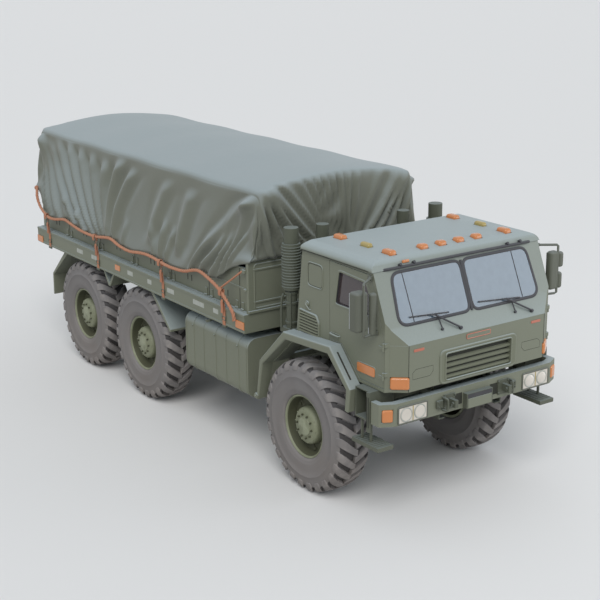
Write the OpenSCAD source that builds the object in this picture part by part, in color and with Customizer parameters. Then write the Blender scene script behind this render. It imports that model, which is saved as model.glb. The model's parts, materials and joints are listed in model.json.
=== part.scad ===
// Six-wheel military cargo truck with a cab over the engine and a covered load bed.
// X points forward, Y to the truck's left, Z up. Millimetres, ground at Z = 0.

/* [Axles and wheels] */
// Front axle, from the middle of the truck
front_axle_x = 2500; // [2400:5:2600]
// Middle axle, from the middle of the truck
middle_axle_x = -1050; // [-1150:5:-950]
// Rear axle, from the middle of the truck
rear_axle_x = -2665; // [-2750:5:-2600]
// Outside radius of a tyre, and the height of every wheel centre
tyre_r = 729; // [700:1:740]
// Half of the widest section of a tyre
tyre_half_w = 200; // [180:1:205]
// Tyre middle plane, from the centre line
track_y = 1000; // [980:5:1010]
// Radius where the tyre sits on the rim
bead_r = 330; // [300:1:340]
// Radius of the wheel spindles
spindle_r = 45; // [35:1:50]
// Radial running clearance of every pin and spindle
running_gap = 0.05; // [0.01:0.01:0.1]
// Kingpin line, from the centre line
kingpin_y = 860; // [850:1:870]
// Radius of the kingpins
kingpin_r = 25; // [18:1:28]

/* [Chassis] */
// Front end of the frame rails
rail_front_x = 3818; // [3700:1:3830]
// Rear end of the frame rails
rail_rear_x = -3860; // [-3900:1:-3700]
// Outer face of the frame rails
rail_outer_y = 425; // [400:1:440]
// Width of a rail's flanges
rail_flange = 80; // [60:1:90]
// Bottom of the frame rails
rail_bottom_z = 1050; // [1000:1:1080]
// Top of the frame rails
rail_top_z = 1320; // [1280:1:1340]
// Thickness of the rail channel
rail_wall = 12; // [8:1:16]
// Height of the leaf springs' seats
spring_seat_z = 850; // [830:1:870]

/* [Cab] */
// Half of the cab's width over the doors
cab_half_w = 1100; // [1050:5:1120]
// Thickness of the cab's walls and doors
cab_wall = 60; // [40:1:70]
// Front face of the cab
cab_front_x = 3920; // [3900:1:3930]
// Underside of the cab floor
cab_floor_z = 1735; // [1725:1:1760]
// Top of the cab's side walls, where the roof begins
cab_top_z = 2650; // [2600:5:2680]
// Gap all round a shut door
door_gap = 5; // [5:0.5:8]
// Rear edge of the doors
door_rear_x = 2885; // [2850:1:2920]
// Front edge of the doors
door_front_x = 3770; // [3750:1:3772]
// Thickness of the window glass
glass_t = 8; // [5:1:10]

/* [Load bed] */
// Front end of the bed
bed_front_x = 1500; // [1450:5:1520]
// Rear end of the bed
bed_rear_x = -3920; // [-3930:5:-3850]
// Outer face of the bed's side rails
bed_half_w = 1250; // [1200:5:1255]
// Top of the bed's side rails
bed_rail_top_z = 1735; // [1700:5:1740]
// Bottom of the bed's side rails
bed_rail_bottom_z = 1520; // [1500:5:1540]
// Top of the side boards and the tailgate
board_top_z = 2240; // [2100:5:2245]
// Thickness of the boards
board_t = 35; // [25:1:40]
// Thickness of the tarpaulin with its folds
tarp_t = 40; // [20:1:50]
// Lower edge of the tarpaulin at the sides
tarp_hem_z = 2000; // [1950:5:2050]
// Radius of the lashing rope
rope_r = 22; // [15:1:30]

/* [Hidden] */
$fn = 64;
rope_sides = 10;

frame_green = [0.20, 0.22, 0.17];
body_green = [0.36, 0.39, 0.32];
tarp_green = [0.36, 0.41, 0.39];
rubber_grey = [0.20, 0.19, 0.18];
amber = [0.85, 0.42, 0.12];
rope_orange = [0.72, 0.36, 0.22];
glass_grey = [0.55, 0.62, 0.66];
dark_grey = [0.12, 0.12, 0.12];

bore_r = spindle_r + running_gap;
rail_web_y = rail_outer_y - rail_wall;
rail_inner_y = rail_outer_y - rail_flange;

// A box from its limits along each axis.
module block(x, y, z) {
    translate([x[0], y[0], z[0]])
        cube([x[1] - x[0], y[1] - y[0], z[1] - z[0]]);
}

// The same piece on the left and on the right.
module both_sides() {
    children();
    mirror([0, 1, 0])
        children();
}

// A plate drawn in side view as [x, z] points, between two Y values.
module side_plate(points, y) {
    translate([0, y[1], 0])
        rotate([90, 0, 0])
            linear_extrude(y[1] - y[0])
                polygon(points);
}

// A plate drawn in end view as [y, z] points, between two X values.
module end_plate(points, x) {
    translate([x[0], 0, 0])
        rotate([90, 0, 90])
            linear_extrude(x[1] - x[0])
                polygon(points);
}

// A round bar along Y through [x, z].
module bar_y(x, z, r, y) {
    translate([x, y[0], z])
        rotate([-90, 0, 0])
            cylinder(r = r, h = y[1] - y[0]);
}

// A round bar along X through [y, z].
module bar_x(y, z, r, x) {
    translate([x[0], y, z])
        rotate([0, 90, 0])
            cylinder(r = r, h = x[1] - x[0]);
}

// A round bar between two points in one plane of constant Y.
module bar_between(a, b, r) {
    run = b - a;
    translate(a)
        rotate([0, atan2(run[0], run[2]), 0])
            cylinder(r = r, h = norm(run));
}

function mirrored(points) = concat(points, [for (i = [len(points) - 1:-1:0]) [-points[i][0], points[i][1]]]);

// ---- Chassis ----

// Cross members of the frame: middle of each one along X.
cross_x = [3560, 1640, 425, -500, -1857.5, -3300, -3820];
cross_half = 50;
cross_z = [1110, 1260];
// Front spring: ends from the axle, eye height, spring between these Y values.
front_spring_half = 650;
front_eye_z = 985;
front_spring_y = [330, 410];
eye_pin_r = 20;
hanger_plates = [[308, 327], [413, 432]];
// Rear springs pivot on a trunnion between the two rear axles.
trunnion_x = (middle_axle_x + rear_axle_x) / 2;
trunnion_z = 850;
trunnion_r = 55;
rear_spring_y = [480, 580];
// Rear coupling jaw.
jaw_x = [-4020, -3920];
jaw_z = [1120, 1240];
jaw_pin_x = -3980;
jaw_pin_r = 20;

module chassis_frame() color(frame_green) {
    both_sides() {
        difference() {
            block([rail_rear_x, rail_front_x], [rail_inner_y, rail_outer_y], [rail_bottom_z, rail_top_z]);
            block([rail_rear_x - 1, rail_front_x + 1], [rail_inner_y - 1, rail_web_y],
                [rail_bottom_z + rail_wall, rail_top_z - rail_wall]);
        }
        for (end = [-1, 1]) {
            x = front_axle_x + end * front_spring_half;
            for (y = hanger_plates)
                block([x - 45, x + 45], y, [front_eye_z - 45, rail_bottom_z]);
            block([x - 45, x + 45], [hanger_plates[0][0], rail_inner_y + 20], [rail_bottom_z - 14, rail_bottom_z]);
            bar_y(x, front_eye_z, eye_pin_r, [hanger_plates[0][0], hanger_plates[1][1]]);
        }
        block([trunnion_x - 140, trunnion_x + 140], [rail_outer_y - 60, rail_outer_y],
            [trunnion_z - 60, rail_bottom_z]);
        // Cab mounts: rear post, front post.
        block([2360, 2440], [rail_inner_y, rail_outer_y], [rail_top_z, cab_floor_z]);
        block([3600, 3680], [372, 398], [rail_top_z, 1476]);
    }
    for (x = cross_x)
        block([x - cross_half, x + cross_half], [-rail_web_y, rail_web_y], cross_z);
    bar_y(trunnion_x, trunnion_z, trunnion_r, [-590, 590]);
    // Rear cross beam and coupling jaw.
    block([-3920, rail_rear_x], [-520, 520], [rail_bottom_z, 1300]);
    difference() {
        block(jaw_x, [-70, 70], jaw_z);
        block([jaw_x[0] - 1, jaw_x[1] - 20], [-71, 71], [jaw_z[0] + 40, jaw_z[1] - 40]);
        translate([jaw_pin_x, 0, jaw_z[0] - 1])
            cylinder(r = jaw_pin_r, h = jaw_z[1] - jaw_z[0] + 2);
    }
}

// ---- Axles, springs and drive ----

axle_tube_r = 72;
drum_r = 190;
drum_y = [850, 985];
spindle_end_y = 1100;
kingpin_boss_r = 60;
kingpin_boss_half_h = 80;

module front_axle() color(frame_green) {
    difference() {
        union() {
            bar_y(front_axle_x, tyre_r, 62, [-kingpin_y + 20, kingpin_y - 20]);
            both_sides() {
                translate([front_axle_x, kingpin_y, tyre_r - kingpin_boss_half_h])
                    cylinder(r = kingpin_boss_r, h = 2 * kingpin_boss_half_h);
                block([front_axle_x - 75, front_axle_x + 75], [front_spring_y[0] - 8, front_spring_y[1] + 8],
                    [tyre_r, spring_seat_z]);
            }
            translate([front_axle_x, 150, tyre_r])
                sphere(r = 185);
            bar_x(150, tyre_r + 15, 70, [front_axle_x - 240, front_axle_x]);
        }
        both_sides()
            translate([front_axle_x, kingpin_y, tyre_r - kingpin_boss_half_h - 1])
                cylinder(r = kingpin_r + running_gap, h = 2 * kingpin_boss_half_h + 2);
    }
}

module driven_axle(x) {
    bar_y(x, tyre_r, axle_tube_r, [-drum_y[0], drum_y[0]]);
    bar_y(x, tyre_r, spindle_r, [-spindle_end_y, spindle_end_y]);
    translate([x, 0, tyre_r])
        sphere(r = 210);
    bar_x(0, tyre_r + 16, 75, [x - 240, x + 240]);
    both_sides() {
        bar_y(x, tyre_r, drum_r, drum_y);
        block([x - 90, x + 90], [rear_spring_y[0] - 10, rear_spring_y[1] + 10], [tyre_r, spring_seat_z - 10]);
    }
}

module middle_axle() color(frame_green) driven_axle(middle_axle_x);

module rear_axle() color(frame_green) driven_axle(rear_axle_x);

// Half length of each leaf, from the spring seat outwards.
front_leaves = [250, 380, 500, 610, 650];
rear_leaves = [850, 720, 590, 460, 330];
leaf_t = 20;

// One leaf in side view: half length, bottom at the middle, flat half length, rise per millimetre.
function leaf(half, z, flat, rise) = [
    [-half, z + (half - flat) * rise], [-flat, z], [flat, z], [half, z + (half - flat) * rise],
    [half, z + leaf_t + (half - flat) * rise], [flat, z + leaf_t], [-flat, z + leaf_t],
    [-half, z + leaf_t + (half - flat) * rise]];

module leaf_springs() color(frame_green) both_sides() {
    difference() {
        union() {
            for (i = [0:len(front_leaves) - 1])
                translate([front_axle_x, 0, 0])
                    side_plate(leaf(front_leaves[i], spring_seat_z + i * leaf_t, 100, 0.07), front_spring_y);
            for (end = [-1, 1])
                bar_y(front_axle_x + end * front_spring_half, front_eye_z, 34, front_spring_y);
        }
        for (end = [-1, 1])
            bar_y(front_axle_x + end * front_spring_half, front_eye_z, eye_pin_r + running_gap,
                [front_spring_y[0] - 1, front_spring_y[1] + 1]);
    }
    for (i = [0:len(rear_leaves) - 1])
        translate([trunnion_x, 0, 0])
            side_plate(leaf(rear_leaves[i], 915 + i * leaf_t, 200, -0.107), rear_spring_y);
    difference() {
        block([trunnion_x - 100, trunnion_x + 100], rear_spring_y, [trunnion_z - 70, 915]);
        bar_y(trunnion_x, trunnion_z, trunnion_r + running_gap, [rear_spring_y[0] - 1, rear_spring_y[1] + 1]);
    }
}

// Engine, gearbox and radiator as plain blocks in their real places.
engine_x = [1900, 3050];
engine_half_w = 325;
engine_z = [950, 1600];
radiator_x = [3250, 3400];
gearbox_rear_x = 1300;

module engine_and_radiator() color(dark_grey) {
    block(engine_x, [-engine_half_w, engine_half_w], engine_z);
    block([gearbox_rear_x, engine_x[0]], [-190, 190], [860, 1100]);
    block(radiator_x, [-engine_half_w, engine_half_w], [1000, 1650]);
    for (x = [2000, 2900])
        both_sides()
            block([x - 50, x + 50], [engine_half_w, rail_web_y], [1180, 1240]);
    for (z = [1100, 1550])
        block([engine_x[1], radiator_x[0]], [180, 240], [z, z + 60]);
}

transfer_x = [270, 580];
transfer_z = [770, 1110];
shaft_r = 40;

module transfer_drive() color(frame_green) {
    block(transfer_x, [-170, 220], transfer_z);
    bar_between([transfer_x[1], 0, 900], [gearbox_rear_x - 8, 0, 985], shaft_r);
    translate([transfer_x[1], 150, 840])
        rotate([0, 90 + atan2(840 - 750, front_axle_x - 245 - transfer_x[1]), 0])
            cylinder(r = shaft_r, h = norm([front_axle_x - 245 - transfer_x[1], 90]) - 3);
    bar_between([middle_axle_x + 245, 0, tyre_r + 16], [transfer_x[0], 0, 860], shaft_r);
    bar_x(0, tyre_r + 16, shaft_r - 5, [rear_axle_x + 242, middle_axle_x - 242]);
}

// Steering knuckle, drawn for the left side.
knuckle_ear_gap = 2;
knuckle_ear_t = 29;
knuckle_plate_y = [930, 950];
arm_x = front_axle_x - 150;
arm_z = [545, 575];
ball_pin_r = 12;

module knuckle_shape() {
    top = tyre_r + kingpin_boss_half_h + knuckle_ear_gap;
    bottom = tyre_r - kingpin_boss_half_h - knuckle_ear_gap - knuckle_ear_t;
    difference() {
        union() {
            for (z = [bottom, top]) {
                translate([front_axle_x, kingpin_y, z])
                    cylinder(r = kingpin_boss_r, h = knuckle_ear_t);
                block([front_axle_x - kingpin_boss_r, front_axle_x + kingpin_boss_r],
                    [kingpin_y, knuckle_plate_y[1]], [z, z + knuckle_ear_t]);
            }
            translate([front_axle_x, kingpin_y, bottom])
                cylinder(r = kingpin_r, h = top + knuckle_ear_t - bottom);
            block([front_axle_x - 80, front_axle_x + 80], knuckle_plate_y, [arm_z[0], top + knuckle_ear_t]);
            bar_y(front_axle_x, tyre_r, drum_r, [knuckle_plate_y[1], drum_y[1]]);
            bar_y(front_axle_x, tyre_r, spindle_r, [knuckle_plate_y[1], spindle_end_y]);
            block([arm_x - 30, front_axle_x - 80], knuckle_plate_y, arm_z);
            block([arm_x - 30, arm_x + 30], [kingpin_y, knuckle_plate_y[1]], arm_z);
            translate([arm_x, kingpin_y, arm_z[0]])
                cylinder(r = 30, h = arm_z[1] - arm_z[0]);
        }
        translate([arm_x, kingpin_y, arm_z[0] - 1])
            cylinder(r = ball_pin_r + running_gap, h = arm_z[1] - arm_z[0] + 2);
    }
}

module knuckle_left() color(frame_green) knuckle_shape();

module knuckle_right() color(frame_green) mirror([0, 1, 0]) knuckle_shape();

module tie_rod() color(frame_green) {
    bar_y(arm_x, 522, 18, [-kingpin_y, kingpin_y]);
    both_sides() {
        translate([arm_x, kingpin_y, 504])
            cylinder(r = 28, h = 36);
        translate([arm_x, kingpin_y, 504])
            cylinder(r = ball_pin_r, h = arm_z[1] - 504);
    }
}

// ---- Wheels ----

// Tyre section: radius, half width, from the bead to the tread.
tyre_section = [[bead_r, 150], [349, 150], [349, 170], [375, 190], [450, tyre_half_w], [560, tyre_half_w],
    [660, 190], [715, 165], [tyre_r, 130]];
// Rim with its well, dished disc and hub: radius, distance outwards from the tyre's middle plane.
rim_section = [[bore_r, -8], [130, -8], [150, 20], [318, 20], [318, -168], [348, -168], [348, -150],
    [bead_r, -150], [bead_r, 150], [348, 150], [348, 168], [318, 168], [318, 45], [205, 45],
    [200, 105], [170, 125], [165, 150], [110, 175], [0, 175], [0, 105], [bore_r, 105]];

module wheel_place(x, side) {
    mirror([0, side < 0 ? 1 : 0, 0])
        translate([x, track_y, tyre_r])
            rotate([-90, 0, 0])
                children();
}

module tyre_shape(x, side) color(rubber_grey)
    wheel_place(x, side)
        rotate_extrude($fn = 96)
            polygon(concat(tyre_section,
                [for (i = [len(tyre_section) - 1:-1:0]) [tyre_section[i][0], -tyre_section[i][1]]]));

module rim_shape(x, side) color(body_green)
    wheel_place(x, side)
        rotate_extrude($fn = 96)
            polygon(rim_section);

module tyre_front_left() tyre_shape(front_axle_x, 1);
module tyre_front_right() tyre_shape(front_axle_x, -1);
module tyre_middle_left() tyre_shape(middle_axle_x, 1);
module tyre_middle_right() tyre_shape(middle_axle_x, -1);
module tyre_rear_left() tyre_shape(rear_axle_x, 1);
module tyre_rear_right() tyre_shape(rear_axle_x, -1);
module rim_front_left() rim_shape(front_axle_x, 1);
module rim_front_right() rim_shape(front_axle_x, -1);
module rim_middle_left() rim_shape(middle_axle_x, 1);
module rim_middle_right() rim_shape(middle_axle_x, -1);
module rim_rear_left() rim_shape(rear_axle_x, 1);
module rim_rear_right() rim_shape(rear_axle_x, -1);

// ---- Front end ----

bumper_face_x = 3898;
bumper_back_x = 3818;
bumper_z = [1147, 1381];
bumper_corner_y = 1048;
bumper_half_w = 1200;
bumper_end_x = 3690;
headlamp_y = [655, 1017];
headlamp_z = [1165, 1330];
// Amber lamps let into slanted corners: x, y, height range, turn about Z, length, depth.
corner_lamps = [[3859, 1124, 1195, 1325, 27, 110, 34], [3866, 979, 1506, 1634, 39, 190, 44]];

module corner_lamp(row) {
    translate([row[0], row[1], row[2]])
        rotate([0, 0, row[4]])
            translate([-row[6] / 2, -row[5] / 2, 0])
                cube([row[6], row[5], row[3] - row[2]]);
}

module front_bumper() color(body_green) {
    difference() {
        translate([0, 0, bumper_z[0]])
            linear_extrude(bumper_z[1] - bumper_z[0])
                polygon([[bumper_end_x, -bumper_half_w], [3820, -bumper_half_w],
                    [bumper_face_x, -bumper_corner_y], [bumper_face_x, bumper_corner_y],
                    [3820, bumper_half_w], [bumper_end_x, bumper_half_w],
                    [bumper_end_x, 1130], [3770, 1130], [bumper_back_x, 1030],
                    [bumper_back_x, -1030], [3770, -1130], [bumper_end_x, -1130]]);
        both_sides() {
            block([3868, bumper_face_x + 10], headlamp_y, headlamp_z);
            corner_lamp(corner_lamps[0]);
        }
    }
}

module headlamps() color(glass_grey) both_sides()
    block([3868, bumper_face_x + 6], headlamp_y, headlamp_z);

// Roof marker lamps: x, y, length, width.
roof_lamps = [[2620, 770, 150, 95], [3060, 770, 150, 70], [3420, 770, 150, 95],
    [3440, 120, 95, 110], [3440, 360, 95, 110]];
roof_lamp_z = [2725, 2800];
// Bed corner markers: x range, y range, z range.
bed_markers = [[[1326, 1500], [1250, 1262], [1560, 1650]], [[-3920, -3750], [1250, 1262], [1530, 1620]]];

module roof_lamp_blocks() {
    for (row = roof_lamps)
        both_sides()
            block([row[0] - row[2] / 2, row[0] + row[2] / 2], [row[1] - row[3] / 2, row[1] + row[3] / 2],
                roof_lamp_z);
}

module amber_lamps() color(amber) {
    roof_lamp_blocks();
    both_sides() {
        for (row = corner_lamps)
            corner_lamp(row);
        for (row = bed_markers)
            block(row[0], row[1], row[2]);
    }
}

lug_y = 365;
lug_hole_x = 3985;
lug_hole_z = 1265;
lug_hole_r = 20;

module front_tow_gear() color(frame_green) {
    both_sides() {
        block([bumper_face_x, bumper_face_x + 14], [lug_y - 70, lug_y + 70], [1185, 1345]);
        difference() {
            block([bumper_face_x, 4020], [lug_y - 20, lug_y + 20], [1225, 1305]);
            bar_y(lug_hole_x, lug_hole_z, lug_hole_r, [lug_y - 21, lug_y + 21]);
        }
    }
    // Box that carries the blank plate.
    block([bumper_face_x, 3960], [-175, 175], [1150, 1310]);
}

// ---- Cab ----

wind_foot = [3810, 2110];
wind_head = [3590, 2650];
wind_lean = atan2(wind_foot[0] - wind_head[0], wind_head[1] - wind_foot[1]);
fascia_top_z = 1957;
fascia_bottom_z = 1476;
fascia_rear_x = 3800;
cab_rear_foot_x = 2290;
cab_rear_head_x = 2410;
// Outline of the cab in side view: x, z.
cab_profile = [[cab_rear_foot_x, cab_floor_z], [3090, cab_floor_z], [3345, fascia_bottom_z],
    [cab_front_x, fascia_bottom_z], [cab_front_x, fascia_top_z], wind_foot, wind_head,
    [cab_rear_head_x, cab_top_z]];
cab_inside = [[2308, 1400], [3860, 1400], [3860, 1938], [3757, 2081], [3505, 2700], [2476, 2700]];
// Outline of the cab from above: x, y.
cab_plan = [[2200, -cab_half_w], [3780, -cab_half_w], [3800, -1060], [cab_front_x, -913],
    [cab_front_x, 913], [3800, 1060], [3780, cab_half_w], [2200, cab_half_w]];
cab_plan_inside = [[2200, -1040], [3735, -1040], [3748, -1028], [3860, -890],
    [3860, 890], [3748, 1028], [3735, 1040], [2200, 1040]];
grille_y = 500;
grille_z = [1488, 1812];

// Door outline in side view, grown by g on every side.
function door_outline(g) = [[door_rear_x - g, 1802 - g], [3085 - 0.41 * g, 1802 - g],
    [3379 - 0.41 * g, 1515 - g], [door_front_x + g, 1515 - g], [door_front_x + g, 2010 + 0.2 * g],
    [3545 + 1.2 * g, 2615 + g], [door_rear_x - g, 2625 + g]];
window_outline = [[2990, 2190], [3610, 2190], [3640, 2215], [3490, 2515], [3465, 2532], [3055, 2555],
    [3032, 2540], [2972, 2215]];
// Door hinges: axis, pin radius, foot of each hinge, height of a leaf.
door_hinge_x = 3772;
door_hinge_y = 1112;
door_hinge_pin_r = 5;
door_hinge_barrel_r = 11;
door_hinge_z = [1600, 1900];
hinge_leaf_h = 40;
// One windscreen pane in the plane of the glass: y, height up the slope.
pane_outline = [[80, 40], [860, 40], [905, 85], [878, 475], [835, 515], [80, 515], [40, 475], [40, 85]];

module cab_shell() {
    difference() {
        intersection() {
            side_plate(cab_profile, [-cab_half_w, cab_half_w]);
            translate([0, 0, 1400])
                linear_extrude(1300)
                    polygon(cab_plan);
        }
        intersection() {
            side_plate(cab_inside, [-cab_half_w, cab_half_w]);
            translate([0, 0, 1390])
                linear_extrude(1320)
                    polygon(cab_plan_inside);
        }
    }
}

module fascia_zone() {
    block([fascia_rear_x, cab_front_x + 1], [-cab_half_w, cab_half_w], [fascia_bottom_z - 1, fascia_top_z]);
}

module on_windscreen() {
    translate([wind_foot[0], 0, wind_foot[1]])
        rotate([0, -wind_lean, 0])
            children();
}

module hinge_barrel(z, r) {
    translate([door_hinge_x, door_hinge_y, z[0]])
        cylinder(r = r, h = z[1] - z[0]);
}

module cab_body() color(body_green) {
    difference() {
        cab_shell();
        fascia_zone();
        both_sides() {
            side_plate(door_outline(door_gap), [1000, cab_half_w + 1]);
            on_windscreen()
                end_plate(pane_outline, [-150, 60]);
            corner_lamp(corner_lamps[1]);
        }
    }
    both_sides()
        for (z = door_hinge_z) {
            hinge_barrel([z + hinge_leaf_h + 1, z + 2 * hinge_leaf_h + 1], door_hinge_barrel_r);
            block([3776, 3798], [1050, door_hinge_y - 2], [z + hinge_leaf_h + 1, z + 2 * hinge_leaf_h + 1]);
            hinge_barrel([z - 3, z + hinge_leaf_h + 5], door_hinge_pin_r);
        }
    block([2345, 3100], [-1045, 1045], [cab_floor_z, cab_floor_z + 30]);
    block([3095, 3860], [-400, 400], [cab_floor_z, cab_floor_z + 30]);
    both_sides() {
        side_plate([[3060, cab_floor_z], [3090, cab_floor_z], [3345, fascia_bottom_z], [3799, fascia_bottom_z],
            [3799, 1506], [3357, 1506], [3102, 1765], [3060, 1765]], [370, 1000]);
        side_plate([[3060, cab_floor_z], [3090, cab_floor_z], [3345, fascia_bottom_z], [3799, fascia_bottom_z],
            [3799, 1765], [3060, 1765]], [370, 400]);
        side_plate([[3060, cab_floor_z], [3090, cab_floor_z], [3345, fascia_bottom_z], [3735, fascia_bottom_z],
            [3735, 1506], [3357, 1506], [3102, 1765], [3060, 1765]], [999, 1045]);
    }
}

module cab_front() color(body_green)
    difference() {
        intersection() {
            cab_shell();
            fascia_zone();
        }
        block([3850, cab_front_x + 1], [-grille_y, grille_y], grille_z);
        block([3850, 3861], [-400, 400], [cab_floor_z, cab_floor_z + 30]);
        both_sides()
            corner_lamp(corner_lamps[1]);
    }

grille_slat_z = [1530, 1590, 1650, 1710];

module front_grille() color(body_green) {
    difference() {
        block([3868, 3930], [-grille_y, grille_y], grille_z);
        block([3860, 3940], [-440, 440], [1512, 1785]);
    }
    for (z = grille_slat_z)
        translate([3880, 0, z])
            rotate([0, 25, 0])
                block([-7, 36], [-441, 441], [0, 16]);
    block([3872, 3880], [-441, 441], [1505, 1790]);
}

// Roof outlines: end view half points [y, z] and side view points [x, z].
roof_half = [[1120, cab_top_z], [1120, 2672], [1085, 2712], [1010, 2742], [800, 2760], [0.01, 2770]];
roof_side = [[2400, cab_top_z], [2392, 2690], [2435, 2742], [2520, 2766], [3380, 2775], [3500, 2752],
    [3565, 2712], [3600, cab_top_z]];

module cab_roof() color(body_green)
    difference() {
        intersection() {
            end_plate(mirrored(roof_half), [2380, 3610]);
            side_plate(roof_side, [-1125, 1125]);
        }
        block([2485, 3490], [-1035, 1035], [cab_top_z - 1, 2700]);
        roof_lamp_blocks();
    }

module windscreen() color(glass_grey)
    both_sides()
        on_windscreen()
            end_plate(pane_outline, [-34, -34 + glass_t]);

module door_shape() {
    difference() {
        side_plate(door_outline(0), [cab_half_w - cab_wall, cab_half_w]);
        side_plate(window_outline, [cab_half_w - cab_wall - 1, cab_half_w + 1]);
    }
    for (z = door_hinge_z)
        difference() {
            union() {
                hinge_barrel([z, z + hinge_leaf_h], door_hinge_barrel_r);
                block([3690, door_hinge_x - 2], [cab_half_w - 2, door_hinge_y - 4], [z, z + hinge_leaf_h]);
            }
            hinge_barrel([z - 1, z + hinge_leaf_h + 1], door_hinge_pin_r + running_gap);
        }
}

module door_left() color(body_green) door_shape();
module door_right() color(body_green) mirror([0, 1, 0]) door_shape();

module door_glass_shape() {
    side_plate(window_outline, [1068, 1068 + glass_t]);
}

module door_glass_left() color(glass_grey) door_glass_shape();
module door_glass_right() color(glass_grey) mirror([0, 1, 0]) door_glass_shape();

// Mirror arms and heads: tube route points, housing ranges.
mirror_route = [[3560, 1100, 2590], [3700, 1300, 2590], [3700, 1300, 2060], [3650, 1100, 2060]];
mirror_tube_r = 14;
mirror_main = [[3640, 3725], [1180, 1292], [2110, 2530]];
mirror_top_box = [[3655, 3720], [1308, 1380], [2340, 2510]];
mirror_low_box = [[3655, 3720], [1308, 1370], [2110, 2290]];
mirror_wide_box = [[3605, 3692], [1232, 1380], [2105, 2505]];
mirror_inner_box = [[3640, 3700], [1126, 1206], [2045, 2480]];

module mirror_bar(a, b) {
    run = b - a;
    flat = norm([run[0], run[1]]);
    translate(a)
        rotate([0, atan2(flat, run[2]), atan2(run[1], run[0])])
            cylinder(r = mirror_tube_r, h = norm(run));
}

module mirror_shape(heads) {
    for (i = [0:len(mirror_route) - 2])
        mirror_bar(mirror_route[i], mirror_route[i + 1]);
    for (i = [1, 2])
        translate(mirror_route[i])
            sphere(r = mirror_tube_r + 3);
    for (b = heads)
        block(b[0], b[1], b[2]);
    for (i = [0, len(mirror_route) - 1])
        block([mirror_route[i][0] - 30, mirror_route[i][0] + 30], [cab_half_w, cab_half_w + 24],
            [mirror_route[i][2] - 22, mirror_route[i][2] + 22]);
}

module mirror_left() color(frame_green)
    difference() {
        mirror_shape([mirror_main, mirror_top_box, mirror_low_box]);
        block([3400, 3900], [1000, cab_half_w], [1900, 2700]);
    }
module mirror_right() color(frame_green)
    mirror([0, 1, 0])
        difference() {
            mirror_shape([mirror_wide_box, mirror_inner_box]);
            block([3400, 3900], [1000, cab_half_w], [1900, 2700]);
        }

// Steering wheel centre, lean of its axis from upright, and rim size.
wheel_centre = [3360, 550, 2230];
wheel_lean = 30;
wheel_ring_r = 225;
wheel_tube_r = 15;
column_pin_r = 12;

module at_steering() {
    translate(wheel_centre)
        rotate([0, -wheel_lean, 0])
            children();
}

module dashboard() color(dark_grey) {
    side_plate([[3600, 1765], [3560, 1960], [3600, 2030], [3700, 2060], [3745, 2040], [3790, 1960],
        [3795, 1765]], [-940, 940]);
    at_steering() {
        translate([0, 0, -480])
            cylinder(r = 28, h = 450);
        translate([0, 0, -60])
            cylinder(r = column_pin_r, h = 60);
    }
}

module steering_wheel() color(dark_grey)
    at_steering()
        difference() {
            union() {
                rotate_extrude()
                    translate([wheel_ring_r - wheel_tube_r, 0])
                        circle(r = wheel_tube_r, $fn = 32);
                translate([0, 0, -24])
                    cylinder(r = 45, h = 40);
                for (a = [0, 120, 240])
                    rotate([0, 0, a])
                        block([30, wheel_ring_r - wheel_tube_r], [-14, 14], [-8, 2]);
            }
            translate([0, 0, -25])
                cylinder(r = column_pin_r + running_gap, h = 28);
        }

seat_y = [310, 800];

module seat_bases() color(dark_grey)
    both_sides() {
        block([2640, 3040], [seat_y[0] + 60, seat_y[1] - 60], [1765, 1950]);
        side_plate([[2520, 1950], [3080, 1950], [3080, 1975], [2580, 1975], [2500, 2560], [2475, 2560]], seat_y);
    }

module seat_cushions() color(dark_grey)
    both_sides() {
        block([2640, 3080], seat_y, [1975, 2070]);
        side_plate([[2580, 1990], [2640, 2070], [2640, 2110], [2590, 2560], [2502, 2560]], seat_y);
    }

// Front mudguard line in side view: x, z, inward direction x and z, depth of the outer lip.
guard_line = [[1704, 831, 0.987, -0.159, 35], [1779, 1296, 0.934, -0.490, 60], [2244, 1741, 0.428, -0.974, 85],
    [3073, 1795, -0.402, -1.028, 88], [3420, 1430, -1.057, -0.339, 70], [3385, 1180, -0.990, 0.139, 60]];

function guard_at(row, depth) = [row[0] + row[2] * depth, row[1] + row[3] * depth];
function guard_band(rows, near, far) = concat([for (r = rows) guard_at(r, near(r))],
    [for (i = [len(rows) - 1:-1:0]) guard_at(rows[i], far(rows[i]))]);

module front_mudguards() color(body_green)
    both_sides() {
        side_plate(guard_band(guard_line, function(r) 0, function(r) r[4]), [1105, 1250]);
        side_plate(guard_band([for (i = [1:4]) guard_line[i]], function(r) r[4] - 22, function(r) r[4] + 12),
            [900, 1105.01]);
        block([1820, 1870], [rail_outer_y, 901], [1262, 1318]);
    }

step_box_x = [3430, 3680];
step_box_y = [900, 1190];
step_box_z = [1150, 1470];
step_plate_z = [880, 925];

module cab_steps() color(frame_green)
    both_sides() {
        difference() {
            block(step_box_x, step_box_y, step_box_z);
            block([step_box_x[0] + 14, step_box_x[1] - 14], [step_box_y[0] + 14, step_box_y[1] + 1],
                [step_box_z[0] + 20, step_box_z[1] - 14]);
        }
        block([3400, 3820], [1010, 1210], step_plate_z);
        for (x = [3500, 3640])
            block([x - 10, x + 10], [1140, 1165], [step_plate_z[1], step_box_z[0]]);
        block([3640, 3685], [1190, 1215], [1050, 1470]);
        block([3500, 3560], [rail_outer_y, step_box_y[0]], [1190, 1250]);
    }

// ---- Side tanks and stacks ----

// A long body along X with rounded long edges.
module rounded_tank(x, y, z, r) {
    block(x, [y[0] + r, y[1] - r], z);
    block(x, y, [z[0] + r, z[1] - r]);
    for (a = [y[0] + r, y[1] - r])
        for (b = [z[0] + r, z[1] - r])
            bar_x(a, b, r, x);
}

tank_x = [70, 1440];
tank_y = [-1180, -620];
tank_z = [720, 1420];
tank_strap_x = [250, 740, 1230];

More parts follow.
